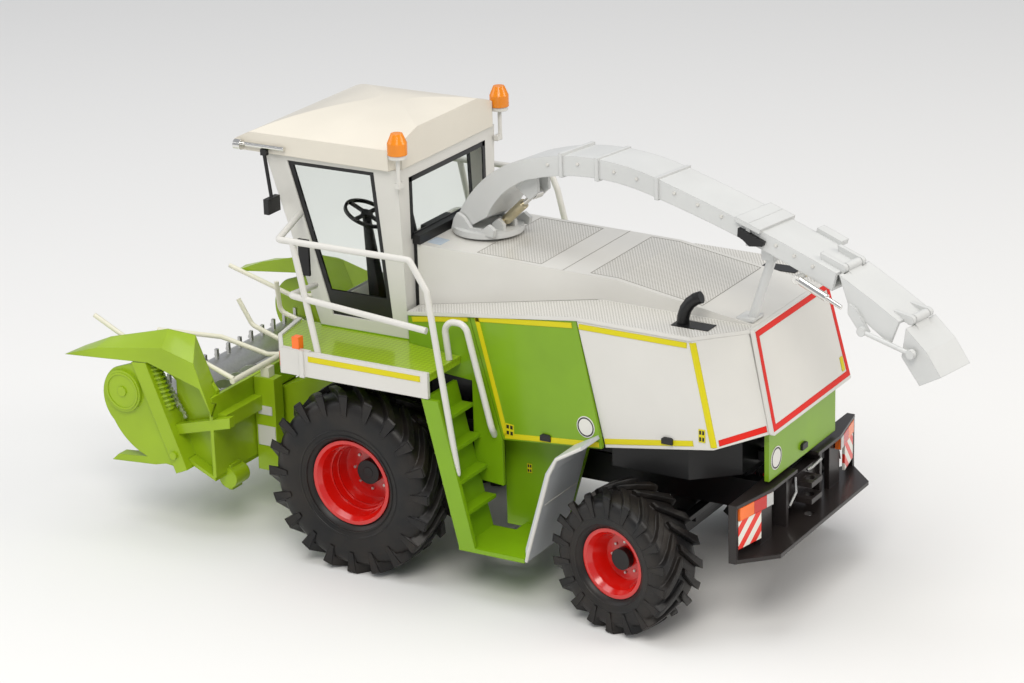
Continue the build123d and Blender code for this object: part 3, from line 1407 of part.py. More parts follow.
# Dividers: outer and inner outline in the side view, as (ahead of the front axle, z)
shroud_outer = [(100.8, 52.6), (88.5, 56.6), (64.0, 60.2), (52.5, 57.2), (47.0, 41.0), (51.0, 49.4),
                (69.4, 54.8), (89.0, 53.4)]
shroud_inner = [(99.0, 53.2), (88.8, 57.6), (67.0, 63.4), (57.0, 63.0), (49.6, 45.4), (53.0, 52.0),
                (70.4, 56.4), (88.6, 54.4)]
shroud_depth = 8.0
with BuildPart() as header_shrouds:
    for side in (1, -1):
        for y, outline in ((header_half + 1.2, shroud_outer),
                           (header_half + 1.2 - shroud_depth, shroud_inner)):
            with BuildSketch(side_plane.offset(-side * y)):
                with BuildLine():
                    Polyline(*side_view(outline), close=True)
                make_face()
        loft(ruled=True)
    add(header_sides.part, mode=Mode.SUBTRACT)
    add(header_frame.part, mode=Mode.SUBTRACT)
finish(header_shrouds.part, "header_shrouds")

reel_half = header_half - 5.0 - header_plate - gap
tine_rows = 5
tine_pitch = 6.2
tines_per_row = 13
with BuildPart() as pickup_reel:
    with Locations((ahead(reel_x), 0, reel_z)):
        Cylinder(reel_radius, 2 * reel_half, rotation=(90, 0, 0))
        Cylinder(shaft_radius, 2 * (header_half - header_plate + 0.8), rotation=(90, 0, 0))
    for row in range(tine_rows):
        turn = 360 / tine_rows * row + 18
        for tine in range(tines_per_row):
            reach = Plane(origin=(ahead(reel_x), (tine - (tines_per_row - 1) / 2) * tine_pitch, reel_z),
                          x_dir=(cos(radians(turn)), 0, sin(radians(turn))), z_dir=(0, -1, 0))
            with BuildSketch(reach):
                with Locations((tine_radius / 2 + 1.5, 0)):
                    Rectangle(tine_radius - 3.0, 1.0)
            extrude(amount=0.5, both=True)
finish(pickup_reel.part, "pickup_reel")

flight_lean = 16.0
flight_pitch = 7.0
with BuildPart() as header_auger:
    with Locations((ahead(auger_x), 0, auger_z)):
        Cylinder(auger_core, 2 * (reel_half - 0.2), rotation=(90, 0, 0))
        Cylinder(shaft_radius, 2 * (header_half - 5.0 - 0.6), rotation=(90, 0, 0))
    for side in (1, -1):
        for flight in range(4):
            with Locations((ahead(auger_x), side * (13.0 + flight * flight_pitch), auger_z)):
                Cylinder(auger_radius, 0.8, rotation=(90 + side * flight_lean, 0, 0))
    for turn in (0, 90):
        with Locations((ahead(auger_x), 0, auger_z)):
            Box(1.0, 20.0, 2 * auger_radius - 0.6, rotation=(0, turn, 0))
finish(header_auger.part, "header_auger")

guard_bar = (45.0, 50.0)
guard_rods = [
    (38.4, [(45.0, 50.6), (60.0, 55.6), (82.5, 56.6), (95.6, 63.0)]),
    (13.0, [(45.6, 50.0), (50.2, 49.2), (67.3, 52.2), (91.5, 50.8)]),
    (2.0, [(45.0, 48.6), (54.0, 50.2), (63.4, 53.2), (68.2, 61.0)]),
    (-13.0, [(45.0, 48.4), (54.3, 50.6), (63.2, 53.0), (64.1, 62.6)]),
    (-38.4, [(45.0, 48.6), (62.0, 50.6), (76.5, 48.4), (100.4, 55.2)]),
]
with BuildPart() as wind_guard:
    with Locations((ahead(guard_bar[0]), 0, guard_bar[1])):
        Cylinder(0.9, 2 * 39.2, rotation=(90, 0, 0))
    for side in (1, -1):
        with Locations((ahead(44.6), side * 21.6, 47.6)):
            Box(3.0, 3.0, 3.2)
    for y, route in guard_rods:
        with BuildLine() as wire:
            FilletPolyline(*[(ahead(x), y, z) for x, z in route], radius=3.0)
        with BuildSketch(Plane(origin=wire.line @ 0, z_dir=wire.line % 0)):
            Circle(0.75)
        sweep()
finish(wind_guard.part, "wind_guard")
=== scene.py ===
"""Looks of the forage harvester model: materials, stripes, perforation and small trim.

Lengths are written in millimetres ahead of the front axle, to the left and up, and turned into
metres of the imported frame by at().
"""

import json
import math

import bpy
from mathutils import Matrix, Vector


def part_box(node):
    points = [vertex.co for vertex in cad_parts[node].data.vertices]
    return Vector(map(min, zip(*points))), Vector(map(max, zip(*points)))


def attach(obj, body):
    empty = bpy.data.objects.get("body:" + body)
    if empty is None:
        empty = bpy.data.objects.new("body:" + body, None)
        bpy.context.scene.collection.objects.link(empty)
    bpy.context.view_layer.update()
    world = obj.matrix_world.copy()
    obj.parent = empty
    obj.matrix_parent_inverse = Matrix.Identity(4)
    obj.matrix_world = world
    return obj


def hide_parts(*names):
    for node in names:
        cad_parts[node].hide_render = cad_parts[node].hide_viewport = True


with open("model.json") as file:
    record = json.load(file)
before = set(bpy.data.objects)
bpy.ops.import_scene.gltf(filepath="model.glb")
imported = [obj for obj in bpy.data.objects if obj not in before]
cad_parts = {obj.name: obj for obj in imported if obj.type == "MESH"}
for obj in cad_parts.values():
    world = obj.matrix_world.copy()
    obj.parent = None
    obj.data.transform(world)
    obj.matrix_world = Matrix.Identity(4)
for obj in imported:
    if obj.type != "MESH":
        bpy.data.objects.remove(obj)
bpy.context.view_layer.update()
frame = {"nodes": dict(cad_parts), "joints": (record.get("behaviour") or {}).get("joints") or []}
nodes = frame["nodes"]
MM = 0.001

tyre_low, tyre_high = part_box("tyre_front_left")
FRONT_X = (tyre_low.x + tyre_high.x) / 2


def at(ahead, y, z):
    """Point given in millimetres ahead of the front axle, as metres in the frame."""
    return Vector((FRONT_X + ahead * MM, y * MM, z * MM))


# ---- Materials -----------------------------------------------------------------------------

PAINT_PATCHES = 45.0  # scale of the broad unevenness in sprayed paint
PLASTIC_GRAIN = 1400.0
SPECULAR = 0.35  # below the usual 0.5, so that the colours don't wash out
FACES_UP = 0.7  # least upward part of a face's normal that takes holes
# painted shade: the dark seen inside each hole of the perforated sheets
HOLE_SHADE = (0.30, 0.28, 0.24, 1)


def new_material(name):
    """Material with a Principled shader, and what is needed to wire it."""
    mat = bpy.data.materials.new(name)
    mat.use_nodes = True
    shader = mat.node_tree.nodes["Principled BSDF"]
    return mat, mat.node_tree.nodes, mat.node_tree.links, shader


def noise(tree_nodes, links, scale, detail=3.0):
    """Noise in the piece's own coordinates."""
    coords = tree_nodes.new("ShaderNodeTexCoord")
    texture = tree_nodes.new("ShaderNodeTexNoise")
    texture.inputs["Scale"].default_value = scale
    texture.inputs["Detail"].default_value = detail
    links.new(coords.outputs["Object"], texture.inputs["Vector"])
    return texture.outputs["Fac"]


def ramp(tree_nodes, links, fac, low, high, colour_low, colour_high):
    """Blend between two colours as a factor goes from low to high."""
    node = tree_nodes.new("ShaderNodeValToRGB")
    node.color_ramp.elements[0].position = low
    node.color_ramp.elements[1].position = high
    node.color_ramp.elements[0].color = (*colour_low, 1)
    node.color_ramp.elements[1].color = (*colour_high, 1)
    links.new(fac, node.inputs["Fac"])
    return node.outputs["Color"]


def scaled(colour, factor):
    """Colour made lighter or darker."""
    return tuple(min(1.0, c * factor) for c in colour)


def mottle(tree_nodes, links, shader, fac, dark, light):
    """Base colour that wanders between two tones with a noise."""
    links.new(ramp(tree_nodes, links, fac, 0.3, 0.7, dark, light), shader.inputs["Base Color"])


def rounded_edges(tree_nodes, links, shader, radius, height, strength, distance):
    """Softens the edges by a bevel of the normal, with a bump from a height over it."""
    bevel = tree_nodes.new("ShaderNodeBevel")
    bevel.samples = 4
    bevel.inputs["Radius"].default_value = radius
    bump = tree_nodes.new("ShaderNodeBump")
    bump.inputs["Strength"].default_value = strength
    bump.inputs["Distance"].default_value = distance
    links.new(height, bump.inputs["Height"])
    links.new(bevel.outputs["Normal"], bump.inputs["Normal"])
    links.new(bump.outputs["Normal"], shader.inputs["Normal"])


def painted(name, colour, roughness=0.34, coat=0.25, spread=0.10):
    """Cast and sprayed paint: slight orange peel, faint unevenness of colour and gloss."""
    mat, tree_nodes, links, shader = new_material(name)
    broad = noise(tree_nodes, links, PAINT_PATCHES)
    fine = noise(tree_nodes, links, 900.0)
    mottle(tree_nodes, links, shader, broad, scaled(colour, 1 - spread), scaled(colour, 1 + spread))
    rough = tree_nodes.new("ShaderNodeMapRange")
    rough.inputs["To Min"].default_value = roughness - 0.05
    rough.inputs["To Max"].default_value = roughness + 0.10
    links.new(broad, rough.inputs["Value"])
    links.new(rough.outputs["Result"], shader.inputs["Roughness"])
    shader.inputs["Coat Weight"].default_value = coat
    shader.inputs["Coat Roughness"].default_value = 0.12
    shader.inputs["Specular IOR Level"].default_value = SPECULAR
    rounded_edges(tree_nodes, links, shader, 0.00035, fine, 0.12, 0.00006)
    return mat


def plastic(name, colour, roughness=0.5, spread=0.12):
    """Moulded plastic with a fine grain."""
    mat, tree_nodes, links, shader = new_material(name)
    broad = noise(tree_nodes, links, 60.0)
    fine = noise(tree_nodes, links, PLASTIC_GRAIN)
    mottle(tree_nodes, links, shader, broad, scaled(colour, 1 - spread), scaled(colour, 1 + spread))
    shader.inputs["Roughness"].default_value = roughness
    rounded_edges(tree_nodes, links, shader, 0.0003, fine, 0.15, 0.00008)
    return mat


def metal(name, colour, roughness=0.22):
    """Bright metal with faint brushing."""
    mat, tree_nodes, links, shader = new_material(name)
    fine = noise(tree_nodes, links, 1200.0)
    mottle(tree_nodes, links, shader, fine, scaled(colour, 0.9), colour)
    shader.inputs["Metallic"].default_value = 1.0
    shader.inputs["Roughness"].default_value = roughness
    rounded_edges(tree_nodes, links, shader, 0.0002, fine, 0.1, 0.00004)
    return mat


def rubber(name):
    """Tyre rubber: black with brown dust where it is worn."""
    mat, tree_nodes, links, shader = new_material(name)
    broad = noise(tree_nodes, links, 120.0, 5.0)
    fine = noise(tree_nodes, links, 1500.0)
    links.new(ramp(tree_nodes, links, broad, 0.35, 0.8, (0.005, 0.005, 0.0055),
                   (0.022, 0.017, 0.013)), shader.inputs["Base Color"])
    shader.inputs["Roughness"].default_value = 0.42
    shader.inputs["Specular IOR Level"].default_value = SPECULAR
    rounded_edges(tree_nodes, links, shader, 0.0005, fine, 0.2, 0.0001)
    return mat


def perforated(name, colour, windows, pitch=0.92, hole=0.27):
    """Sheet with rows of small holes, painted dark as the shade inside them, in windows of (rear, front,
    least |y|, greatest |y|).
    """
    mat, tree_nodes, links, shader = new_material(name)

    def maths(kind, *values):
        node = tree_nodes.new("ShaderNodeMath")
        node.operation = kind
        for i, value in enumerate(values):
            if isinstance(value, (int, float)):
                node.inputs[i].default_value = value
            else:
                links.new(value, node.inputs[i])
        return node.outputs[0]

    coords = tree_nodes.new("ShaderNodeTexCoord")
    split = tree_nodes.new("ShaderNodeSeparateXYZ")
    links.new(coords.outputs["Object"], split.inputs[0])
    x, y, _ = split.outputs
    u = maths("DIVIDE", x, pitch * MM)
    v = maths("DIVIDE", y, pitch * 0.8 * MM)
    row = maths("FLOOR", v)
    shift = maths("MULTIPLY", maths("MODULO", maths("ABSOLUTE", row), 2.0), 0.5)
    fu = maths("SUBTRACT", maths("FRACT", maths("ADD", u, shift)), 0.5)
    fv = maths("SUBTRACT", maths("FRACT", v), 0.5)
    dist = maths("SQRT", maths("ADD", maths("MULTIPLY", fu, fu), maths("MULTIPLY", fv, fv)))
    dots = maths("LESS_THAN", dist, hole)
    inside = None
    for low, high, inner, outer in windows:
        part = maths("MULTIPLY", maths("GREATER_THAN", x, FRONT_X + low * MM),
                     maths("LESS_THAN", x, FRONT_X + high * MM))
        side = maths("ABSOLUTE", y)
        part = maths("MULTIPLY", part, maths("GREATER_THAN", side, inner * MM))
        part = maths("MULTIPLY", part, maths("LESS_THAN", side, outer * MM))
        inside = part if inside is None else maths("MAXIMUM", inside, part)
    geometry = tree_nodes.new("ShaderNodeNewGeometry")
    facing = tree_nodes.new("ShaderNodeSeparateXYZ")
    links.new(geometry.outputs["True Normal"], facing.inputs[0])
    up = maths("GREATER_THAN", facing.outputs[2], FACES_UP)
    mask = maths("MULTIPLY", maths("MULTIPLY", dots, inside), up)
    broad = noise(tree_nodes, links, PAINT_PATCHES)
    paint = ramp(tree_nodes, links, broad, 0.3, 0.7, scaled(colour, 0.96), scaled(colour, 1.03))
    mix = tree_nodes.new("ShaderNodeMix")
    mix.data_type = "RGBA"
    links.new(mask, mix.inputs["Factor"])
    links.new(paint, mix.inputs["A"])
    # each hole takes the painted shade
    mix.inputs["B"].default_value = HOLE_SHADE
    links.new(mix.outputs["Result"], shader.inputs["Base Color"])
    shader.inputs["Roughness"].default_value = 0.32
    shader.inputs["Coat Weight"].default_value = 0.4
    rounded_edges(tree_nodes, links, shader, 0.00035, maths("MULTIPLY", mask, -1.0), 0.6, 0.0002)
    return mat


def chequered(name, colour):
    """Tread plate: diagonal raised lozenges."""
    mat, tree_nodes, links, shader = new_material(name)
    coords = tree_nodes.new("ShaderNodeTexCoord")
    turn = tree_nodes.new("ShaderNodeMapping")
    turn.inputs["Rotation"].default_value = (0, 0, math.radians(45))
    turn.inputs["Scale"].default_value = (900.0, 900.0, 900.0)
    checks = tree_nodes.new("ShaderNodeTexChecker")
    checks.inputs["Scale"].default_value = 1.0
    links.new(coords.outputs["Object"], turn.inputs["Vector"])
    links.new(turn.outputs["Vector"], checks.inputs["Vector"])
    links.new(ramp(tree_nodes, links, checks.outputs["Fac"], 0.2, 0.8, scaled(colour, 0.85),
                   scaled(colour, 1.08)), shader.inputs["Base Color"])
    shader.inputs["Roughness"].default_value = 0.3
    shader.inputs["Coat Weight"].default_value = 0.4
    rounded_edges(tree_nodes, links, shader, 0.0003, checks.outputs["Fac"], 0.5, 0.0002)
    return mat


def striped(name, low, high, pitch, slope):
    """Diagonal stripes of two colours, across Y and Z."""
    mat, tree_nodes, links, shader = new_material(name)
    coords = tree_nodes.new("ShaderNodeTexCoord")
    split = tree_nodes.new("ShaderNodeSeparateXYZ")
    links.new(coords.outputs["Object"], split.inputs[0])
    side = tree_nodes.new("ShaderNodeMath")
    side.operation = "ABSOLUTE"
    links.new(split.outputs[1], side.inputs[0])
    lean = tree_nodes.new("ShaderNodeMath")
    lean.operation = "MULTIPLY_ADD"
    lean.inputs[1].default_value = slope
    links.new(side.outputs[0], lean.inputs[0])
    links.new(split.outputs[2], lean.inputs[2])
    scale = tree_nodes.new("ShaderNodeMath")
    scale.operation = "DIVIDE"
    scale.inputs[1].default_value = pitch * MM
    links.new(lean.outputs[0], scale.inputs[0])
    part = tree_nodes.new("ShaderNodeMath")
    part.operation = "FRACT"
    links.new(scale.outputs[0], part.inputs[0])
    links.new(ramp(tree_nodes, links, part.outputs[0], 0.49, 0.51, low, high),
              shader.inputs["Base Color"])
    shader.inputs["Roughness"].default_value = 0.3
    fine = noise(tree_nodes, links, PLASTIC_GRAIN)
    rounded_edges(tree_nodes, links, shader, 0.0002, fine, 0.1, 0.00005)
    return mat


def clear(name, colour):
    """Thin clear plastic, which hardly bends the light."""
    mat, tree_nodes, links, shader = new_material(name)
    shader.inputs["Transmission Weight"].default_value = 1.0
    shader.inputs["IOR"].default_value = 1.08
    shader.inputs["Roughness"].default_value = 0.03
    mottle(tree_nodes, links, shader, noise(tree_nodes, links, 40.0), scaled(colour, 0.97), colour)
    return mat


GREEN = (0.19, 0.36, 0.004)
# the green made lighter as painted light: it stands for the light that falls on the header and the deck
# plates
GREEN_PAINTED_LIT = (0.30, 0.45, 0.008)
WHITE = (0.66, 0.65, 0.61)
CREAM = (0.70, 0.66, 0.57)
GREY = (0.60, 0.61, 0.60)
YELLOW = (0.66, 0.58, 0.004)
RED = (0.60, 0.006, 0.003)
BLACK = (0.007, 0.007, 0.0075)

green = painted("green_paint", GREEN)
# header parts in the lighter green, which is painted light
green_painted_lit = painted("green_paint_with_painted_light", GREEN_PAINTED_LIT)
white = painted("white_paint", WHITE, spread=0.03)
cream = painted("roof_paint", CREAM, spread=0.03)
grey = painted("chute_paint", GREY, spread=0.05)
yellow = painted("yellow_stripe", YELLOW, roughness=0.45, coat=0.0, spread=0.04)
red = painted("red_stripe", (0.68, 0.012, 0.004), roughness=0.5, coat=0.0, spread=0.05)
rim_red = painted("rim_red_paint", RED, roughness=0.2, coat=0.9)
black = plastic("black_plastic", BLACK, roughness=0.42)
gloss_black = painted("black_paint", (0.006, 0.006, 0.0065), roughness=0.36, coat=0.1)
bumper_black = painted("bumper_paint", (0.020, 0.016, 0.015), roughness=0.35, coat=0.2)
steel = metal("steel", (0.60, 0.60, 0.58), 0.32)
chrome = metal("bright_metal", (0.80, 0.79, 0.76), 0.14)
brass = metal("brass_rod", (0.62, 0.55, 0.38), 0.3)
tyre = rubber("tyre_rubber")
amber = plastic("amber_lens", (0.80, 0.24, 0.005), roughness=0.12)
orange = plastic("orange_lens", (0.90, 0.17, 0.02), roughness=0.15)
lens_red = plastic("red_lens", (0.55, 0.02, 0.015), roughness=0.15)
rod_cream = plastic("cream_rods", (0.74, 0.72, 0.58), roughness=0.35, spread=0.04)
mudguard_grey = plastic("mudguard_grey", (0.52, 0.54, 0.55), roughness=0.35, spread=0.03)
board_stripes = striped("warning_stripes", (0.78, 0.03, 0.015), (0.80, 0.78, 0.70), 5.6, 0.95)
# the deck plates take the lighter green too, as painted light on their tops
deck = chequered("deck_plate", GREEN_PAINTED_LIT)
glass = clear("window_glass", (0.93, 0.95, 0.93))
hood_sheet = perforated("hood_sheet", WHITE,
                        [(-50.0, -29.0, -1.0, 18.2), (-101.0, -66.0, -1.0, 18.6)])
ledge_sheet = perforated("ledge_sheet", WHITE, [(-117.4, -12.0, 20.4, 40.0)])

looks = {
    green: ["front_side_panels", "service_panels", "rear_panel", "lower_side_walls", "ladder",
            "cab_floor"],
    green_painted_lit: ["header_sides", "header_shrouds", "header_frame", "feed_housing"],
    white: ["rear_side_panels", "rear_hood", "cab_frame", "handrails_left", "handrails_right",
            "beacon_stems", "platform_boards"],
    grey: ["chute_boom", "chute_flap", "chute_tip", "chute_turntable", "chute_rest"],
    cream: ["cab_roof"],
    hood_sheet: ["hood_top"],
    ledge_sheet: ["hood_ledges"],
    deck: ["platforms"],
    mudguard_grey: ["mudguards"],
    rim_red: ["rim_front_left", "rim_front_right", "rim_rear_left", "rim_rear_right"],
    tyre: ["tyre_front_left", "tyre_front_right", "tyre_rear_left", "tyre_rear_right"],
    gloss_black: ["chassis_frame", "front_axle", "rear_axle_beam", "knuckle_left",
                  "knuckle_right", "track_rod", "underbody_tray", "exhaust"],
    bumper_black: ["rear_bumper"],
    black: ["seat", "steering_column", "door_frames", "mirrors"],
    glass: ["cab_windows", "door_panes"],
    amber: ["beacon_lenses"],
    chrome: ["work_lamps", "lift_rod", "flap_cylinder"],
    brass: ["lift_barrel"],
    orange: ["tail_lamps"],
    board_stripes: ["warning_boards"],
    rod_cream: ["wind_guard"],
    steel: ["pickup_reel", "header_auger"],
}
for material, names in looks.items():
    for name in names:
        mesh = nodes[name].data
        mesh.materials.clear()
        mesh.materials.append(material)

# ---- Making pieces -------------------------------------------------------------------------


def circle(centre, side, up, radius, sides):
    """Points round a centre, in the plane of two unit vectors."""
    return [centre + (side * math.cos(2 * math.pi * i / sides)
                      + up * math.sin(2 * math.pi * i / sides)) * radius for i in range(sides)]


def between(a, b, sides):
    """Faces that join two rings of points, whose first points are numbered a and b."""
    return [(a + i, a + (i + 1) % sides, b + (i + 1) % sides, b + i) for i in range(sides)]


def piece(name, verts, faces, material, body):
    """Mesh object from points in metres, riding on a body."""
    mesh = bpy.data.meshes.new(name)
    mesh.from_pydata([tuple(v) for v in verts], [], faces)
    mesh.validate()
    mesh.materials.append(material)
    obj = bpy.data.objects.new(name, mesh)
    bpy.context.collection.objects.link(obj)
    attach(obj, body)
    return obj


class Builder:
    """Collects simple solids into one mesh."""

    def __init__(self):
        self.verts = []
        self.faces = []

    def add(self, verts, faces):
        base = len(self.verts)
        self.verts += [tuple(v) for v in verts]
        self.faces += [tuple(i + base for i in face) for face in faces]

    def slab(self, outline, offset):
        """Closed outline of points, thickened by an offset vector."""
        n = len(outline)
        lower = [Vector(p) for p in outline]
        upper = [p + offset for p in lower]
        faces = [tuple(range(n))[::-1], tuple(range(n, 2 * n))]
        faces += between(0, n, n)
        self.add(lower + upper, faces)

    def disc(self, centre, axis, radius, depth, sides=24, inner=0.0):
        """Disc or ring that starts at the centre and grows along the axis."""
        axis = Vector(axis).normalized()
        side = axis.orthogonal().normalized()
        up = axis.cross(side)
        steps = [(radius, 0.0), (radius, depth)]
        if inner > 0.0:
            steps = [(inner, 0.0), *steps, (inner, depth)]
        verts = [v for r, lift in steps
                 for v in circle(Vector(centre) + axis * lift, side, up, r, sides)]
        if inner > 0.0:
            faces = [face for k in range(4) for face in between(k * sides, (k + 1) % 4 * sides, sides)]
        else:
            faces = [tuple(range(sides))[::-1], tuple(range(sides, 2 * sides))]
            faces += between(0, sides, sides)
        self.add(verts, faces)

    def tube(self, points, radius, sides=8):
        """Round bar through points, with flat ends."""
        points = [Vector(p) for p in points]
        verts = []
        side = None
        for i, p in enumerate(points):
            ahead = (points[min(i + 1, len(points) - 1)] - points[max(i - 1, 0)]).normalized()
            side = (ahead.orthogonal() if side is None else side - ahead * side.dot(ahead))
            side = side.normalized()
            up = ahead.cross(side)
            verts += circle(p, side, up, radius, sides)
        faces = [tuple(range(sides))[::-1],
                 tuple(range((len(points) - 1) * sides, len(points) * sides))]
        for i in range(len(points) - 1):
            faces += between(i * sides, (i + 1) * sides, sides)
        self.add(verts, faces)

    def make(self, name, material, body="chassis", slot="green_paint"):
        return piece(name, self.verts, self.faces, material, body)


# ---- Bodywork lines ------------------------------------------------------------------------

# Stations: the hood's front end, the bend of the side walls, the rear corner and face at their top
HOOD_FRONT, KINK, CORNER, REAR = -9.8, -70.9, -106.4, -118.0
TOP_Z, FOOT_Z = 86.4, 57.5  # of the leaning rear panels
CORNER_LEAN, REAR_LEAN = 6.2, 6.8  # how far back the corner and the face go at their foot
REAR_HALF, REAR_FLARE = 23.0, 1.8  # half width of the rear face at its top, and what it gains below
WALL_FRONT_Y, WALL_SPREAD, WALL_Y = 26.4, 9.6, 36.0  # side wall in front, its gain, past the bend
HOOD_BEND = -74.8  # where the hood's top begins to slope
HOOD_TOP_Z, HOOD_BEND_Z = 94.9, 93.4
SKIN = 0.02  # how deep thin trim is sunk into what carries it
SQUARE = ((-1, -1), (1, -1), (1, 1), (-1, 1))


def drop_at(z):
    """How far down the rear face a height lies, from 0 at its top to 1 at its foot."""
    return (TOP_Z - z) / (TOP_Z - FOOT_Z)


def corner_at(z):
    """Station of the leaning corner between side and chamfer at a height."""
    return CORNER - CORNER_LEAN * drop_at(z)


def rear_at(z):
    """Station of the leaning rear face at a height."""
    return REAR - REAR_LEAN * drop_at(z)


def service_y(ahead, _=None):
    """Outer face of the left service panel, which runs on straight past the bend, at any height."""
    return WALL_FRONT_Y + WALL_SPREAD * (HOOD_FRONT - ahead) / (HOOD_FRONT - KINK)


def wall_y(ahead, z):
    """Outer face of the left side wall."""
    if ahead >= KINK:
        return service_y(ahead)
    corner, rear = corner_at(z), rear_at(z)
    half = REAR_HALF + REAR_FLARE * drop_at(z)
    if ahead >= corner:
        return WALL_Y
    return WALL_Y - (WALL_Y - half) * min(1.0, (corner - ahead) / (corner - rear))


def hood_z(ahead):
    """Top of the hood at a station."""
    if ahead >= HOOD_BEND:
        return HOOD_TOP_Z - 1.5 * (HOOD_FRONT - ahead) / 65.0
    return HOOD_BEND_Z - 7.0 * (HOOD_BEND - ahead) / 43.2


def wall_slab(builder, outline, lift=0.04, depth=0.14, face=wall_y):
    """Thin plate on both side walls, from an outline of (ahead, z)."""
    for side in (1, -1):
        points = [at(a, side * (face(a, z) - lift), z) for a, z in outline]
        builder.slab(points, Vector((0, side * (depth + lift) * MM, 0)))


def band(start, end, width, inward):
    """Outline of a straight stripe from start to end, widened towards one side."""
    a, b = Vector(start), Vector(end)
    along = (b - a).normalized()
    across = Vector((-along.y, along.x)) * inward * width
    return [tuple(a), tuple(b), tuple(b + across), tuple(a + across)]


def box_slab(builder, low, high):
    """Box between two corners in (ahead, y, z)."""
    (x0, y0, z0), (x1, y1, z1) = low, high
    builder.slab([at(x0, y0, z0), at(x1, y0, z0), at(x1, y1, z0), at(x0, y1, z0)],
                 Vector((0, 0, (z1 - z0) * MM)))


def side_box(builder, side, stations, spread, heights):
    """Box on one side, between two stations, two distances from the middle and two heights."""
    low, high = sorted(side * y for y in spread)
    box_slab(builder, (stations[0], low, heights[0]), (stations[1], high, heights[1]))


stripes = Builder()
STRIPE_WIDTH = 1.6
# start and end as (ahead, z), and the side that the width lies on
for start, end, inward in [
    ((-11.2, 75.0), (-32.0, 79.3), 1),
    ((-34.9, 79.9), (-69.4, 84.9), 1),
    ((-34.6, 79.6), (-44.2, 45.8), -1),
    ((-71.8, 85.0), (-105.2, 84.7), 1),
    ((-79.4, 50.7), (-107.0, 54.9), -1),
]:
    wall_slab(stripes, band(start, end, STRIPE_WIDTH, inward))
wall_slab(stripes, band((-44.6, 44.9), (-78.2, 49.9), STRIPE_WIDTH, -1), face=service_y)
for low_step, high_step in ((-0.8, 0.0), (0.0, 0.8)):
    wall_slab(stripes, [(corner_at(z) + step, z) for z, step in
                        ((84.8, low_step), (84.8, high_step), (55.4, high_step), (55.4, low_step))])
BOARD_FACE_Y = 47.46
board_stripe = [(11.4, 64.3), (-26.6, 64.3), (-26.6, 66.0), (11.4, 66.0)]
for side in (1, -1):
    stripes.slab([at(a, side * BOARD_FACE_Y, z) for a, z in board_stripe],
                 Vector((0, side * 0.16 * MM, 0)))
stripes.make("side_stripes", yellow, slot="green_paint")

red_stripes = Builder()
wall_slab(red_stripes, [(corner_at(56.0) - 1.4, 55.7), (rear_at(58.4) + 0.5, 58.3),
                        (rear_at(60.0) + 0.5, 60.0), (corner_at(57.6) - 1.4, 57.4)])


def rear_half(z):
    """Half width of the rear face at a height."""
    return REAR_HALF + 0.4 + REAR_FLARE * drop_at(z)


def rear_point(y, z, lift=0.0):
    """Point on the leaning rear face."""
    return at(rear_at(z) - 1.4 - lift, y, z)


def frame_corner(inset, top, side):
    """Corner of the rear face's red frame."""
    z = 85.9 - inset if top else 58.5 + inset
    return side * (rear_half(z) - 0.15 - inset), z


frame_corners = [(True, 1), (True, -1), (False, -1), (False, 1)]
for i, first in enumerate(frame_corners):
    second = frame_corners[(i + 1) % 4]
    outline = [frame_corner(0, *first), frame_corner(0, *second),
               frame_corner(STRIPE_WIDTH, *second), frame_corner(STRIPE_WIDTH, *first)]
    red_stripes.slab([rear_point(y, z, -0.03) for y, z in outline], Vector((-0.15 * MM, 0, 0)))
red_stripes.make("red_stripes", red, slot="red_paint")

beads = Builder()  # rods along the corners between the oblique panels and the rear face
for side in (1, -1):
    beads.tube([at(rear_at(z) - 0.1, side * (rear_half(z) - 0.35), z) for z in (86.0, 57.7)],
               0.42 * MM, 12)
beads.make("corner_beads", white, slot="white_paint")

# Thin seams round the perforated areas of the hood, and where its panels meet
seams = Builder()
SEAM = 0.12  # half the width of a seam


def seam(corners):
    """Thin plate on the hood's top, from corners in (ahead, y, station that gives the height)."""
    seams.slab([at(a, y, hood_z(level) - SKIN) for a, y, level in corners],
               Vector((0, 0, 0.05 * MM)))


def stretches(front, rear):
    """Two stations as one stretch of the hood, or two where the bend lies between them."""
    if front < HOOD_BEND or rear > HOOD_BEND:
        return [(front, rear)]
    return [(front, HOOD_BEND), (HOOD_BEND, rear)]


def seam_across(ahead, half):
    """Seam from side to side on the hood's top."""
    seam([(ahead - SEAM, -half, ahead), (ahead + SEAM, -half, ahead),
          (ahead + SEAM, half, ahead), (ahead - SEAM, half, ahead)])


def seam_along(front, rear, y):
    """Seam along the hood's top, between two stations on one side of its bend."""
    seam([(front, y - SEAM, front), (front, y + SEAM, front),
          (rear, y + SEAM, rear), (rear, y - SEAM, rear)])


HOLES_HALF = 18.3
for front, rear in ((-29.0, -50.0), (-66.0, -101.0)):
    seam_across(front, HOLES_HALF)
    seam_across(rear, HOLES_HALF)
    for side in (1, -1):
        for a, b in stretches(front, rear):
            seam_along(a, b, side * HOLES_HALF)
seam_across(-58.0, 20.0)
seams.make("hood_seams", plastic("seam_grey", (0.30, 0.29, 0.26)), slot="white_paint")

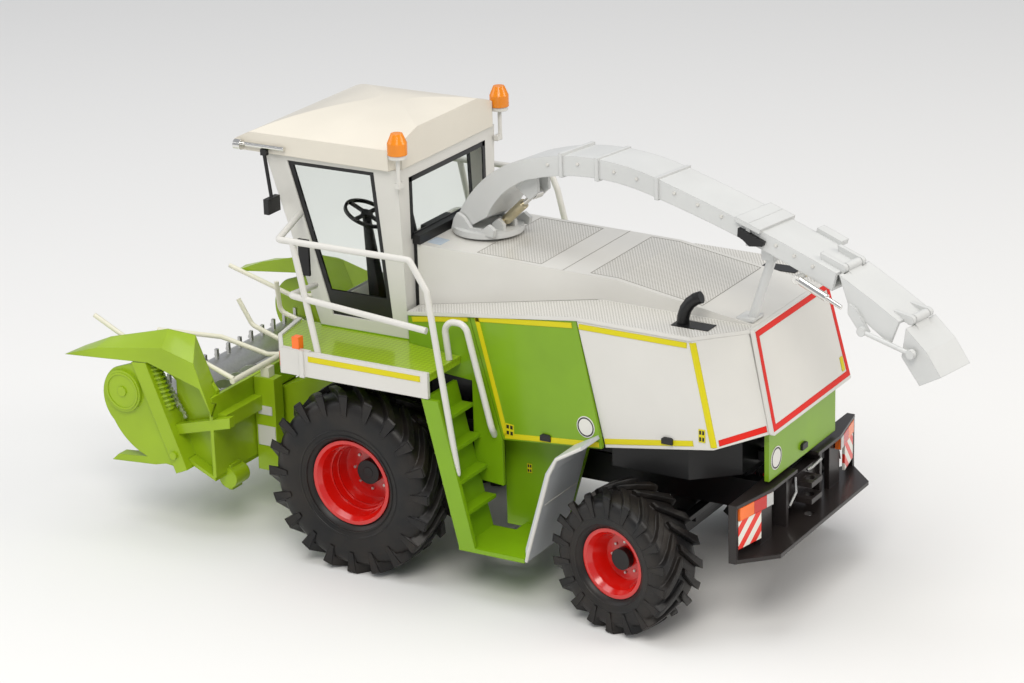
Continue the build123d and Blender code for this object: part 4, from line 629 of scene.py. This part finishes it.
# Blank round discs with a black ring
disc_faces, disc_rings = Builder(), Builder()
for side in (1, -1):
    centre = at(-73.6, side * (service_y(-73.6, 0) - 0.03), 55.0)
    facing = Vector((9.6, side * (HOOD_FRONT - KINK), 0))
    disc_faces.disc(centre, facing, 3.15 * MM, 0.16 * MM, 32)
    disc_rings.disc(centre, facing, 2.85 * MM, 0.20 * MM, 32, inner=2.45 * MM)
back_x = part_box("rear_panel")[0].x
rear_disc = Vector((back_x + 0.03 * MM, 17.2 * MM, 47.6 * MM))
disc_faces.disc(rear_disc, (-1, 0, 0), 3.4 * MM, 0.16 * MM, 32)
disc_rings.disc(rear_disc, (-1, 0, 0), 3.05 * MM, 0.20 * MM, 32, inner=2.65 * MM)
disc_faces.make("blank_discs", painted("disc_white", (0.72, 0.71, 0.66)), slot="white_paint")
disc_rings.make("disc_rings", black, slot="black_plastic")

# Latches and generic stickers
latches, sticker_yellow, sticker_dark = Builder(), Builder(), Builder()
latch_outline = ((-1.7, -0.7), (1.7, -0.7), (1.7, 0.8), (1.1, 1.2), (-1.1, 1.2), (-1.7, 0.8))
for side in (1, -1):
    for ahead, z in ((-59.5, 48.4), (-99.1, 55.0)):
        latches.slab([at(ahead + a, side * (wall_y(ahead, z) - 0.1), z + b)
                      for a, b in latch_outline], Vector((0, side * 0.9 * MM, 0)))


def sticker(ahead, z, width, height, plane_y=None):
    """Yellow plate with four dark marks, on the wall or on a plane, on the left and the right."""

    def spot(a, b, side):
        x = ahead + a * width / 2
        y = wall_y(x, z) if plane_y is None else plane_y
        return at(x, side * (y - SKIN), z + b * height / 2)

    for side in (1, -1):
        sticker_yellow.slab([spot(a, b, side) for a, b in SQUARE], Vector((0, side * 0.2 * MM, 0)))
        for row in (-0.5, 0.5):
            for column in (-0.45, 0.45):
                sticker_dark.slab([spot(column + a * 0.3, row + b * 0.3, side) for a, b in SQUARE],
                                  Vector((0, side * 0.24 * MM, 0)))


sticker(-46.4, 47.9, 3.0, 3.6)
sticker(-109.6, 58.4, 2.0, 3.8)
sticker(-48.1, 33.7, 1.6, 2.8, plane_y=24.5)
sticker_yellow.slab([rear_point(-21.6 + a, 62.8 + b, -0.02) for a, b in
                     ((-0.9, -2.0), (0.9, -2.0), (0.9, 2.0), (-0.9, 2.0))],
                    Vector((-0.2 * MM, 0, 0)))
latches.slab([Vector((back_x + 0.1 * MM, (-0.1 + a) * MM, (44.9 + b) * MM))
              for a, b in latch_outline], Vector((-0.9 * MM, 0, 0)))
latches.make("latches", black, slot="black_plastic")
sticker_yellow.make("stickers", yellow, slot="green_paint")
sticker_dark.make("sticker_marks", black, slot="black_plastic")

# ---- Small trim on the body ----------------------------------------------------------------

trim = Builder()
box_slab(trim, (-9.75, -20.0, 70.0), (-8.65, 20.0, 94.9))  # black plate between the cab and the hood
box_slab(trim, (-11.2, -20.6, 94.95), (-8.65, 20.6, 97.6))  # shelf under the rear window
for side in (1, -1):
    side_box(trim, side, (-108.6, -97.2), (24.8, 30.2), (86.62, 86.74))  # painted shade: black plate over the recess at the exhaust, and its like
    side_box(trim, side, (-121.4, -115.7), (11.0, 14.0), (44.4, 47.4))  # bracket of the rear panel
    side_box(trim, side, (-8.75, -8.35), (19.7, 21.2), (96.6, 114.9))  # rear window's frame, upright
for low, high in ((96.4, 97.9), (113.5, 115.0)):
    box_slab(trim, (-8.75, -21.2, low), (-8.35, 21.2, high))  # rear window's frame, across
box_slab(trim, (20.6, 30.4, 84.0), (24.2, 31.2, 95.0))  # mirror's panel on the left
trim.make("black_trim", gloss_black, slot="black_paint")

board_trim = Builder()  # cap joint of the edge boards
for side in (1, -1):
    side_box(board_trim, side, (12.8, 14.4), (47.3, 47.95), (59.2, 67.5))
    side_box(board_trim, side, (11.0, 20.6), (46.2, 47.4), (67.1, 67.5))
board_trim.make("board_caps", white, slot="white_paint")

markers = Builder()
for side in (1, -1):
    side_box(markers, side, (14.6, 17.0), (44.8, 47.2), (67.2, 71.0))
    markers.slab([at(x, side * y, z) for x, y, z in ((21.3, 47.3, 61.6), (21.9, 46.5, 61.6),
                                                     (21.9, 46.5, 65.8), (21.3, 47.3, 65.8))],
                 Vector((0, side * 0.3 * MM, 0)))
markers.make("marker_lamps", orange, slot="amber_plastic")

foil = Builder()
foil_outline = ((-11.6, 12.2), (-16.4, 12.6), (-16.4, 17.8), (-11.6, 17.4))
foil.slab([at(x, y, hood_z(x) - SKIN) for x, y in foil_outline], Vector((0, 0, 0.1 * MM)))
foil.make("foil_label", plastic("foil", (0.50, 0.58, 0.66), roughness=0.2), slot="grey_plastic")

pipe = Builder()  # smooth bend in place of the one in the solids
pipe.tube([at(*p) for p in ((-99.6, 27.4, 83.0), (-99.6, 27.4, 86.4), (-99.8, 27.4, 88.8),
                            (-100.5, 27.3, 91.0), (-101.7, 27.1, 92.8), (-103.3, 26.9, 94.1),
                            (-105.0, 26.7, 94.8))], 1.75 * MM, 24)
exhaust_pipe = pipe.make("exhaust_pipe", gloss_black, slot="black_paint")
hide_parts("exhaust")

guard_edge = Builder()  # rolled edge, and a thin bar straight across the guard
for side in (1, -1):
    y = side * 46.9
    guard_edge.tube([at(a, y, z) for a, z in ((-59.3, 15.4), (-67.3, 43.2), (-69.9, 48.3),
                                              (-78.0, 53.0))], 0.55 * MM, 8)
    guard_edge.tube([at(-64.4, side * (26.5 + 2.0 * i), 32.8) for i in range(10)], 0.25 * MM, 6)
guard_edge.make("mudguard_edges", white, slot="white_paint")

# name: material, start and end as shares of the lamp's length from its outer end
lamp_parts = {"tail_amber": (orange, 0.0, 0.42), "tail_red": (lens_red, 0.42, 0.80),
              "tail_clear": (steel, 0.80, 1.0)}
for name, (material, start, end) in lamp_parts.items():
    lamp = Builder()
    for side in (1, -1):
        ends = [(-121.6 - 2.8 * share, side * (37.4 - 15.0 * share)) for share in (start, end)]
        lamp.slab([at(x + 0.02, y, z) for (x, y), z in
                   ((ends[0], 36.0), (ends[1], 36.0), (ends[1], 39.7), (ends[0], 39.7))],
                  Vector((-0.22 * MM, 0, 0)))
    lamp.make(name, material, slot="amber_plastic")

handle = Builder()  # the pin's handle, and a bent rod beside it
handle.tube([at(-123.2, -2.4, 36.9), at(-124.0, -4.2, 37.4), at(-124.6, -8.6, 38.4)], 0.5 * MM)
handle.tube([at(-122.6, 4.2, 37.0), at(-123.4, 5.4, 33.0), at(-122.4, 7.4, 29.6),
             at(-120.4, 8.2, 27.0)], 0.45 * MM)
handle.make("hitch_handle", steel, slot="steel_paint")

# ---- Chute trim ----------------------------------------------------------------------------

SLEW = math.radians(10.25)  # how far to the left of straight back the chute rests
CHUTE_X, CHUTE_HALF = -22.0, 6.95  # station of its turning axis, and half its width
along = Vector((-math.cos(SLEW), math.sin(SLEW), 0))
leftward = Vector((math.sin(SLEW), math.cos(SLEW), 0))


def chute_point(reach, off, z):
    """Point at a reach along the chute, off to its left, at a height."""
    return at(CHUTE_X, 0, z) + (along * reach + leftward * off) * MM


def chute_slab(builder, outline, low, high):
    """Plate from an outline of (reach, z), between two distances to the left."""
    builder.slab([chute_point(r, low, z) for r, z in outline], leftward * (high - low) * MM)


chute_trim, chute_dark, chute_bolts = Builder(), Builder(), Builder()
chute_slab(chute_trim, [(95.4, 118.4), (103.6, 116.2), (103.2, 114.9), (95.0, 117.0)],
           -8.0, 8.0)
chute_slab(chute_trim, [(111.6, 114.4), (119.6, 112.0), (119.2, 110.6), (111.2, 113.0)],
           -10.2, -6.9)
chute_slab(chute_dark, [(96.2, 115.4), (99.0, 114.8), (104.8, 112.9), (104.2, 111.6),
                        (100.0, 110.9), (97.6, 112.4), (96.0, 113.0)], 7.0, 8.1)
# reach and height along the middle of the boom's side
spine = [(22.8, 119.3), (44.0, 123.2), (69.0, 121.2), (97.5, 114.6), (126.8, 106.0)]


def spine_z(reach):
    """Middle height of the boom's side at a reach."""
    for (r0, z0), (r1, z1) in zip(spine, spine[1:]):
        if reach <= r1:
            return z0 + (z1 - z0) * (reach - r0) / (r1 - r0)
    return spine[-1][1]


for reach in (29.0, 40.0, 53.0, 61.0, 74.0, 82.0, 90.0, 108.0, 114.0, 120.0):
    for side in (1, -1):
        chute_bolts.disc(chute_point(reach, side * (CHUTE_HALF - 0.05), spine_z(reach) + 0.9),
                         leftward * side, 0.5 * MM, 0.4 * MM, 10)
chute_trim.make("chute_collar", grey, "boom", "white_paint")
chute_dark.make("chute_bracket", gloss_black, "boom", "black_paint")
chute_bolts.make("chute_bolts", white, "boom", "white_paint")
hook = Builder()
hook.tube([chute_point(reach, 2.0, z) for reach, z in
           ((114.6, 107.2), (114.8, 104.2), (113.6, 103.2), (112.6, 104.0))], 0.4 * MM)
hook.make("chute_hook", brass, "boom", "brass_paint")

# ---- Header trim ---------------------------------------------------------------------------

springs, bosses, plates = Builder(), Builder(), Builder()
for side in (1, -1):
    top, foot = at(70.2, side * 44.1, 52.2), at(65.4, side * 44.1, 40.0)
    run = (foot - top).normalized()
    across = run.cross(Vector((0, 1, 0))).normalized()
    turns, steps = 9, 12  # of the coil, and points in each turn
    springs.tube([top + (foot - top) * i / (turns * steps)
                  + (across * math.cos(2 * math.pi * i / steps)
                     + Vector((0, 1, 0)) * math.sin(2 * math.pi * i / steps)) * 2.2 * MM
                  for i in range(turns * steps + 1)], 0.42 * MM, 6)
    face = at(79.9, side * 47.55, 44.0)
    bosses.disc(face, (0, side, 0), 5.9 * MM, 0.3 * MM, 40, inner=5.2 * MM)
    bosses.disc(face, (0, side, 0), 1.6 * MM, 0.5 * MM, 20)
    bosses.disc(at(62.0, side * 47.65, 26.4), (0, side, 0), 1.3 * MM, 0.8 * MM, 16)
    for x, z, width, height in ((44.6, 35.6, 5.0, 2.8), (44.4, 27.4, 6.4, 6.4)):
        plates.slab([at(x + a * width / 2, side * 23.75, z + b * height / 2) for a, b in SQUARE],
                    Vector((0, side * 0.3 * MM, 0)))
chain = Builder()
LINKS = 15
for side in (1, -1):
    for i in range(LINKS):
        link = at(69.0 - 0.62 * i, side * 42.4, 51.6 - 1.0 * i)
        chain.disc(link, (0, side, 0), 0.72 * MM, (0.5 if i % 2 else 0.9) * MM, 8)
chain.make("header_chain", steel, "header", "steel_paint")
springs.make("header_springs", green_painted_lit, "header", "green_paint")
bosses.make("header_bosses", green_painted_lit, "header", "green_paint")
plates.make("header_plates", white, "header", "white_paint")

# ---- Wheels: tread, bolts and hub ----------------------------------------------------------

# end: tyre radius, width, lip radius, lugs in a row, lug height, half a lug's width, bolt ring,
# bolt radius, and how far out the rim's disc stands
wheel_sizes = {
    "front": (28.0, 20.0, 13.0, 20, 1.9, 1.35, 5.8, 0.45, -3.5),
    "rear": (20.6, 17.0, 10.4, 18, 1.5, 1.15, 4.6, 0.4, 0.5),
}
LUG_LEAD, LUG_CURVE = 0.40, 1.25  # turn by which a lug's inner end leads, and how that turn builds up
BOLTS = 8
# Half of the tyre's section as shares: out of half the width, and from the lip to the lugs' foot
half_section = [(0.70, 0.0), (0.86, 0.06), (0.945, 0.22), (0.97, 0.45), (0.972, 0.68),
                (0.945, 0.84), (0.86, 0.93), (0.70, 0.975), (0.35, 0.995), (0.0, 1.0)]
# Stations along a lug: share of half the width, drop of its top, depth of its foot, and its top's
# and foot's widths as shares of the lug's
lug_stations = [
    (0.03, 0.25, 0.6, 0.72, 0.9), (0.10, 0.0, 0.6, 0.95, 1.2), (0.45, 0.0, 0.6, 1.0, 1.3),
    (0.80, 0.0, 0.8, 1.08, 1.35), (0.95, 0.15, 1.6, 1.12, 1.3), (1.0, 0.6, 4.9, 1.1, 0.7),
]
spins = {joint["child"]: joint for joint in frame["joints"]}
RINGS = 96  # sections round a tyre
for wheel in ("front_left", "front_right", "rear_left", "rear_right"):
    end, hand = wheel.split("_")
    radius, width, lip, count, lug, lug_width, ring, bolt, disc_out = wheel_sizes[end]
    body = f"{end}_wheel_{hand}"
    centre = Vector(spins[body]["pos_m"])
    axis = Vector(spins[body]["axis"]).normalized()
    outward = axis if axis.y * (1 if hand == "left" else -1) > 0 else -axis
    up = Vector((0, 0, 1))
    forward = up.cross(outward).normalized()
    if forward.x < 0:
        forward = -forward

    def wheel_point(out, r, turn):
        """Point out from the tyre's middle, at a radius, turned forward from the top."""
        return centre + (outward * out + (up * math.cos(turn) + forward * math.sin(turn)) * r) * MM

    half = width / 2
    foot = radius - lug
    section = [(a * half, lip + b * (foot - lip)) for a, b in half_section]
    section += [(-a, r) for a, r in section[-2::-1]]
    tread = Builder()
    verts = [wheel_point(a, r, 2 * math.pi * i / RINGS) for i in range(RINGS) for a, r in section]
    n = len(section)
    starts = [(i * n, (i + 1) % RINGS * n) for i in range(RINGS)]
    tread.add(verts, [(a + k, a + k + 1, b + k + 1, b + k) for a, b in starts for k in range(n - 1)])
    carcass_faces = len(tread.faces)
    pitch = 2 * math.pi / count
    lug_half = lug_width / radius  # as a turn
    for side in (1, -1):
        for i in range(count):
            start = pitch * (i + (0 if side == 1 else 0.5))
            verts = []
            for share, dip, depth, top_spread, foot_spread in lug_stations:
                lead = start + LUG_LEAD * (1 - share) ** LUG_CURVE
                w, foot_w = lug_half * top_spread, lug_half * foot_spread
                out = side * share * half
                base = radius - lug - depth
                for r, t in ((base, lead - foot_w), (radius - dip, lead - w),
                             (radius - dip, lead + w), (base, lead + foot_w)):
                    verts.append(wheel_point(out, r, t))
            last = len(lug_stations) - 1
            faces = [(0, 1, 2, 3), tuple(last * 4 + k for k in (3, 2, 1, 0))]
            for a in range(last):
                faces += between(a * 4, a * 4 + 4, 4)
            tread.add(verts, faces)
    for out_sign in (1, -1):  # two raised rings on each side wall
        for inner, outer, share in ((1.6, 2.0, 0.925), (3.4, 3.7, 0.952)):
            tread.disc(centre + outward * out_sign * (half * share - 0.3) * MM, outward * out_sign,
                       (lip + outer) * MM, 0.45 * MM, 64, inner=(lip + inner) * MM)
    tyre_mesh = tread.make(f"tread_{wheel}", tyre, body, "tyre_rubber")
    for k, polygon in enumerate(tyre_mesh.data.polygons):
        polygon.use_smooth = k < carcass_faces
    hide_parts(f"tyre_{wheel}")

    bolts = Builder()
    for i in range(BOLTS):
        spot = wheel_point(disc_out - 0.1, ring, 2 * math.pi * i / BOLTS)
        bolts.disc(spot, outward, bolt * MM, 0.6 * MM, 6)
    bolts.make(f"rim_bolts_{wheel}", steel, body, "steel_paint")
    dish_rings = Builder()
    face = width / 2 - 2.0
    for share in (0.35, 0.62):
        r_mid = ring + 3.2 + (lip - 2.2 - ring - 3.2) * share
        out = disc_out + (face - 1.5 - disc_out) * share
        dish_rings.disc(centre + outward * (out - 0.2) * MM, outward, (r_mid + 0.35) * MM, 0.5 * MM,
                        48, inner=(r_mid - 0.15) * MM)
    dish_rings.make(f"rim_steps_{wheel}", rim_red, body, "red_paint")

# ---- Stage, light and camera ---------------------------------------------------------------


def stage_material(name, colour):
    """Matt surface of one colour."""
    mat, _, _, shader = new_material(name)
    shader.inputs["Base Color"].default_value = (*colour, 1)
    shader.inputs["Roughness"].default_value = 0.9
    return mat


bpy.ops.mesh.primitive_plane_add(size=6.0, location=(0, 0, 0))
floor = bpy.context.object
floor.name = "floor"
floor.data.materials.append(stage_material("floor_pale", (0.78, 0.78, 0.77)))

world = bpy.data.worlds.new("studio")
bpy.context.scene.world = world
world.use_nodes = True
background = world.node_tree.nodes["Background"]
background.inputs["Color"].default_value = (0.93, 0.95, 1.0, 1)
background.inputs["Strength"].default_value = 0.46


def area_light(name, place, target, size, power, colour=(1, 1, 1)):
    """Soft rectangular lamp aimed at a point."""
    light = bpy.data.lights.new(name, "AREA")
    light.shape = "SQUARE"
    light.size = size
    light.energy = power
    light.color = colour
    obj = bpy.data.objects.new(name, light)
    obj.location = place
    obj.rotation_euler = (Vector(target) - Vector(place)).to_track_quat("-Z", "Y").to_euler()
    bpy.context.collection.objects.link(obj)


middle = (0, 0, 0.06)
area_light("key", (-0.35, 0.75, 0.95), middle, 0.55, 7.4, (1.0, 0.96, 0.90))
area_light("top", (0.15, 0.05, 1.2), middle, 0.8, 5.4)
area_light("rear", (-1.0, -0.35, 0.7), middle, 0.6, 4.6, (1.0, 0.93, 0.84))
area_light("front", (1.0, 0.5, 0.5), middle, 0.7, 2.4)

# The camera stands about where the photograph was taken from, in millimetres from the front axle
camera_place = (-462.2, 725.0, 363.8)
camera_right = Vector((-0.858, -0.513, 0.0))
camera_up = Vector((0.173, -0.289, 0.941))
camera_roll = math.radians(-1.72)
focal_share = 2.9775  # focal length over the picture's width
SENSOR = 36.0
camera_data = bpy.data.cameras.new("camera")
camera_data.sensor_width = SENSOR
camera_data.lens = SENSOR * focal_share
camera_data.clip_start = 0.01
camera = bpy.data.objects.new("camera", camera_data)
bpy.context.collection.objects.link(camera)
x_axis = (camera_right * math.cos(camera_roll) + camera_up * math.sin(camera_roll)).normalized()
y_axis = (camera_up * math.cos(camera_roll) - camera_right * math.sin(camera_roll)).normalized()
z_axis = x_axis.cross(y_axis).normalized()
y_axis = z_axis.cross(x_axis)
turn = Matrix((x_axis, y_axis, z_axis)).transposed().to_4x4()
camera.matrix_world = Matrix.Translation(at(*camera_place)) @ turn
bpy.context.scene.camera = camera
bpy.context.scene.view_settings.view_transform = "Standard"
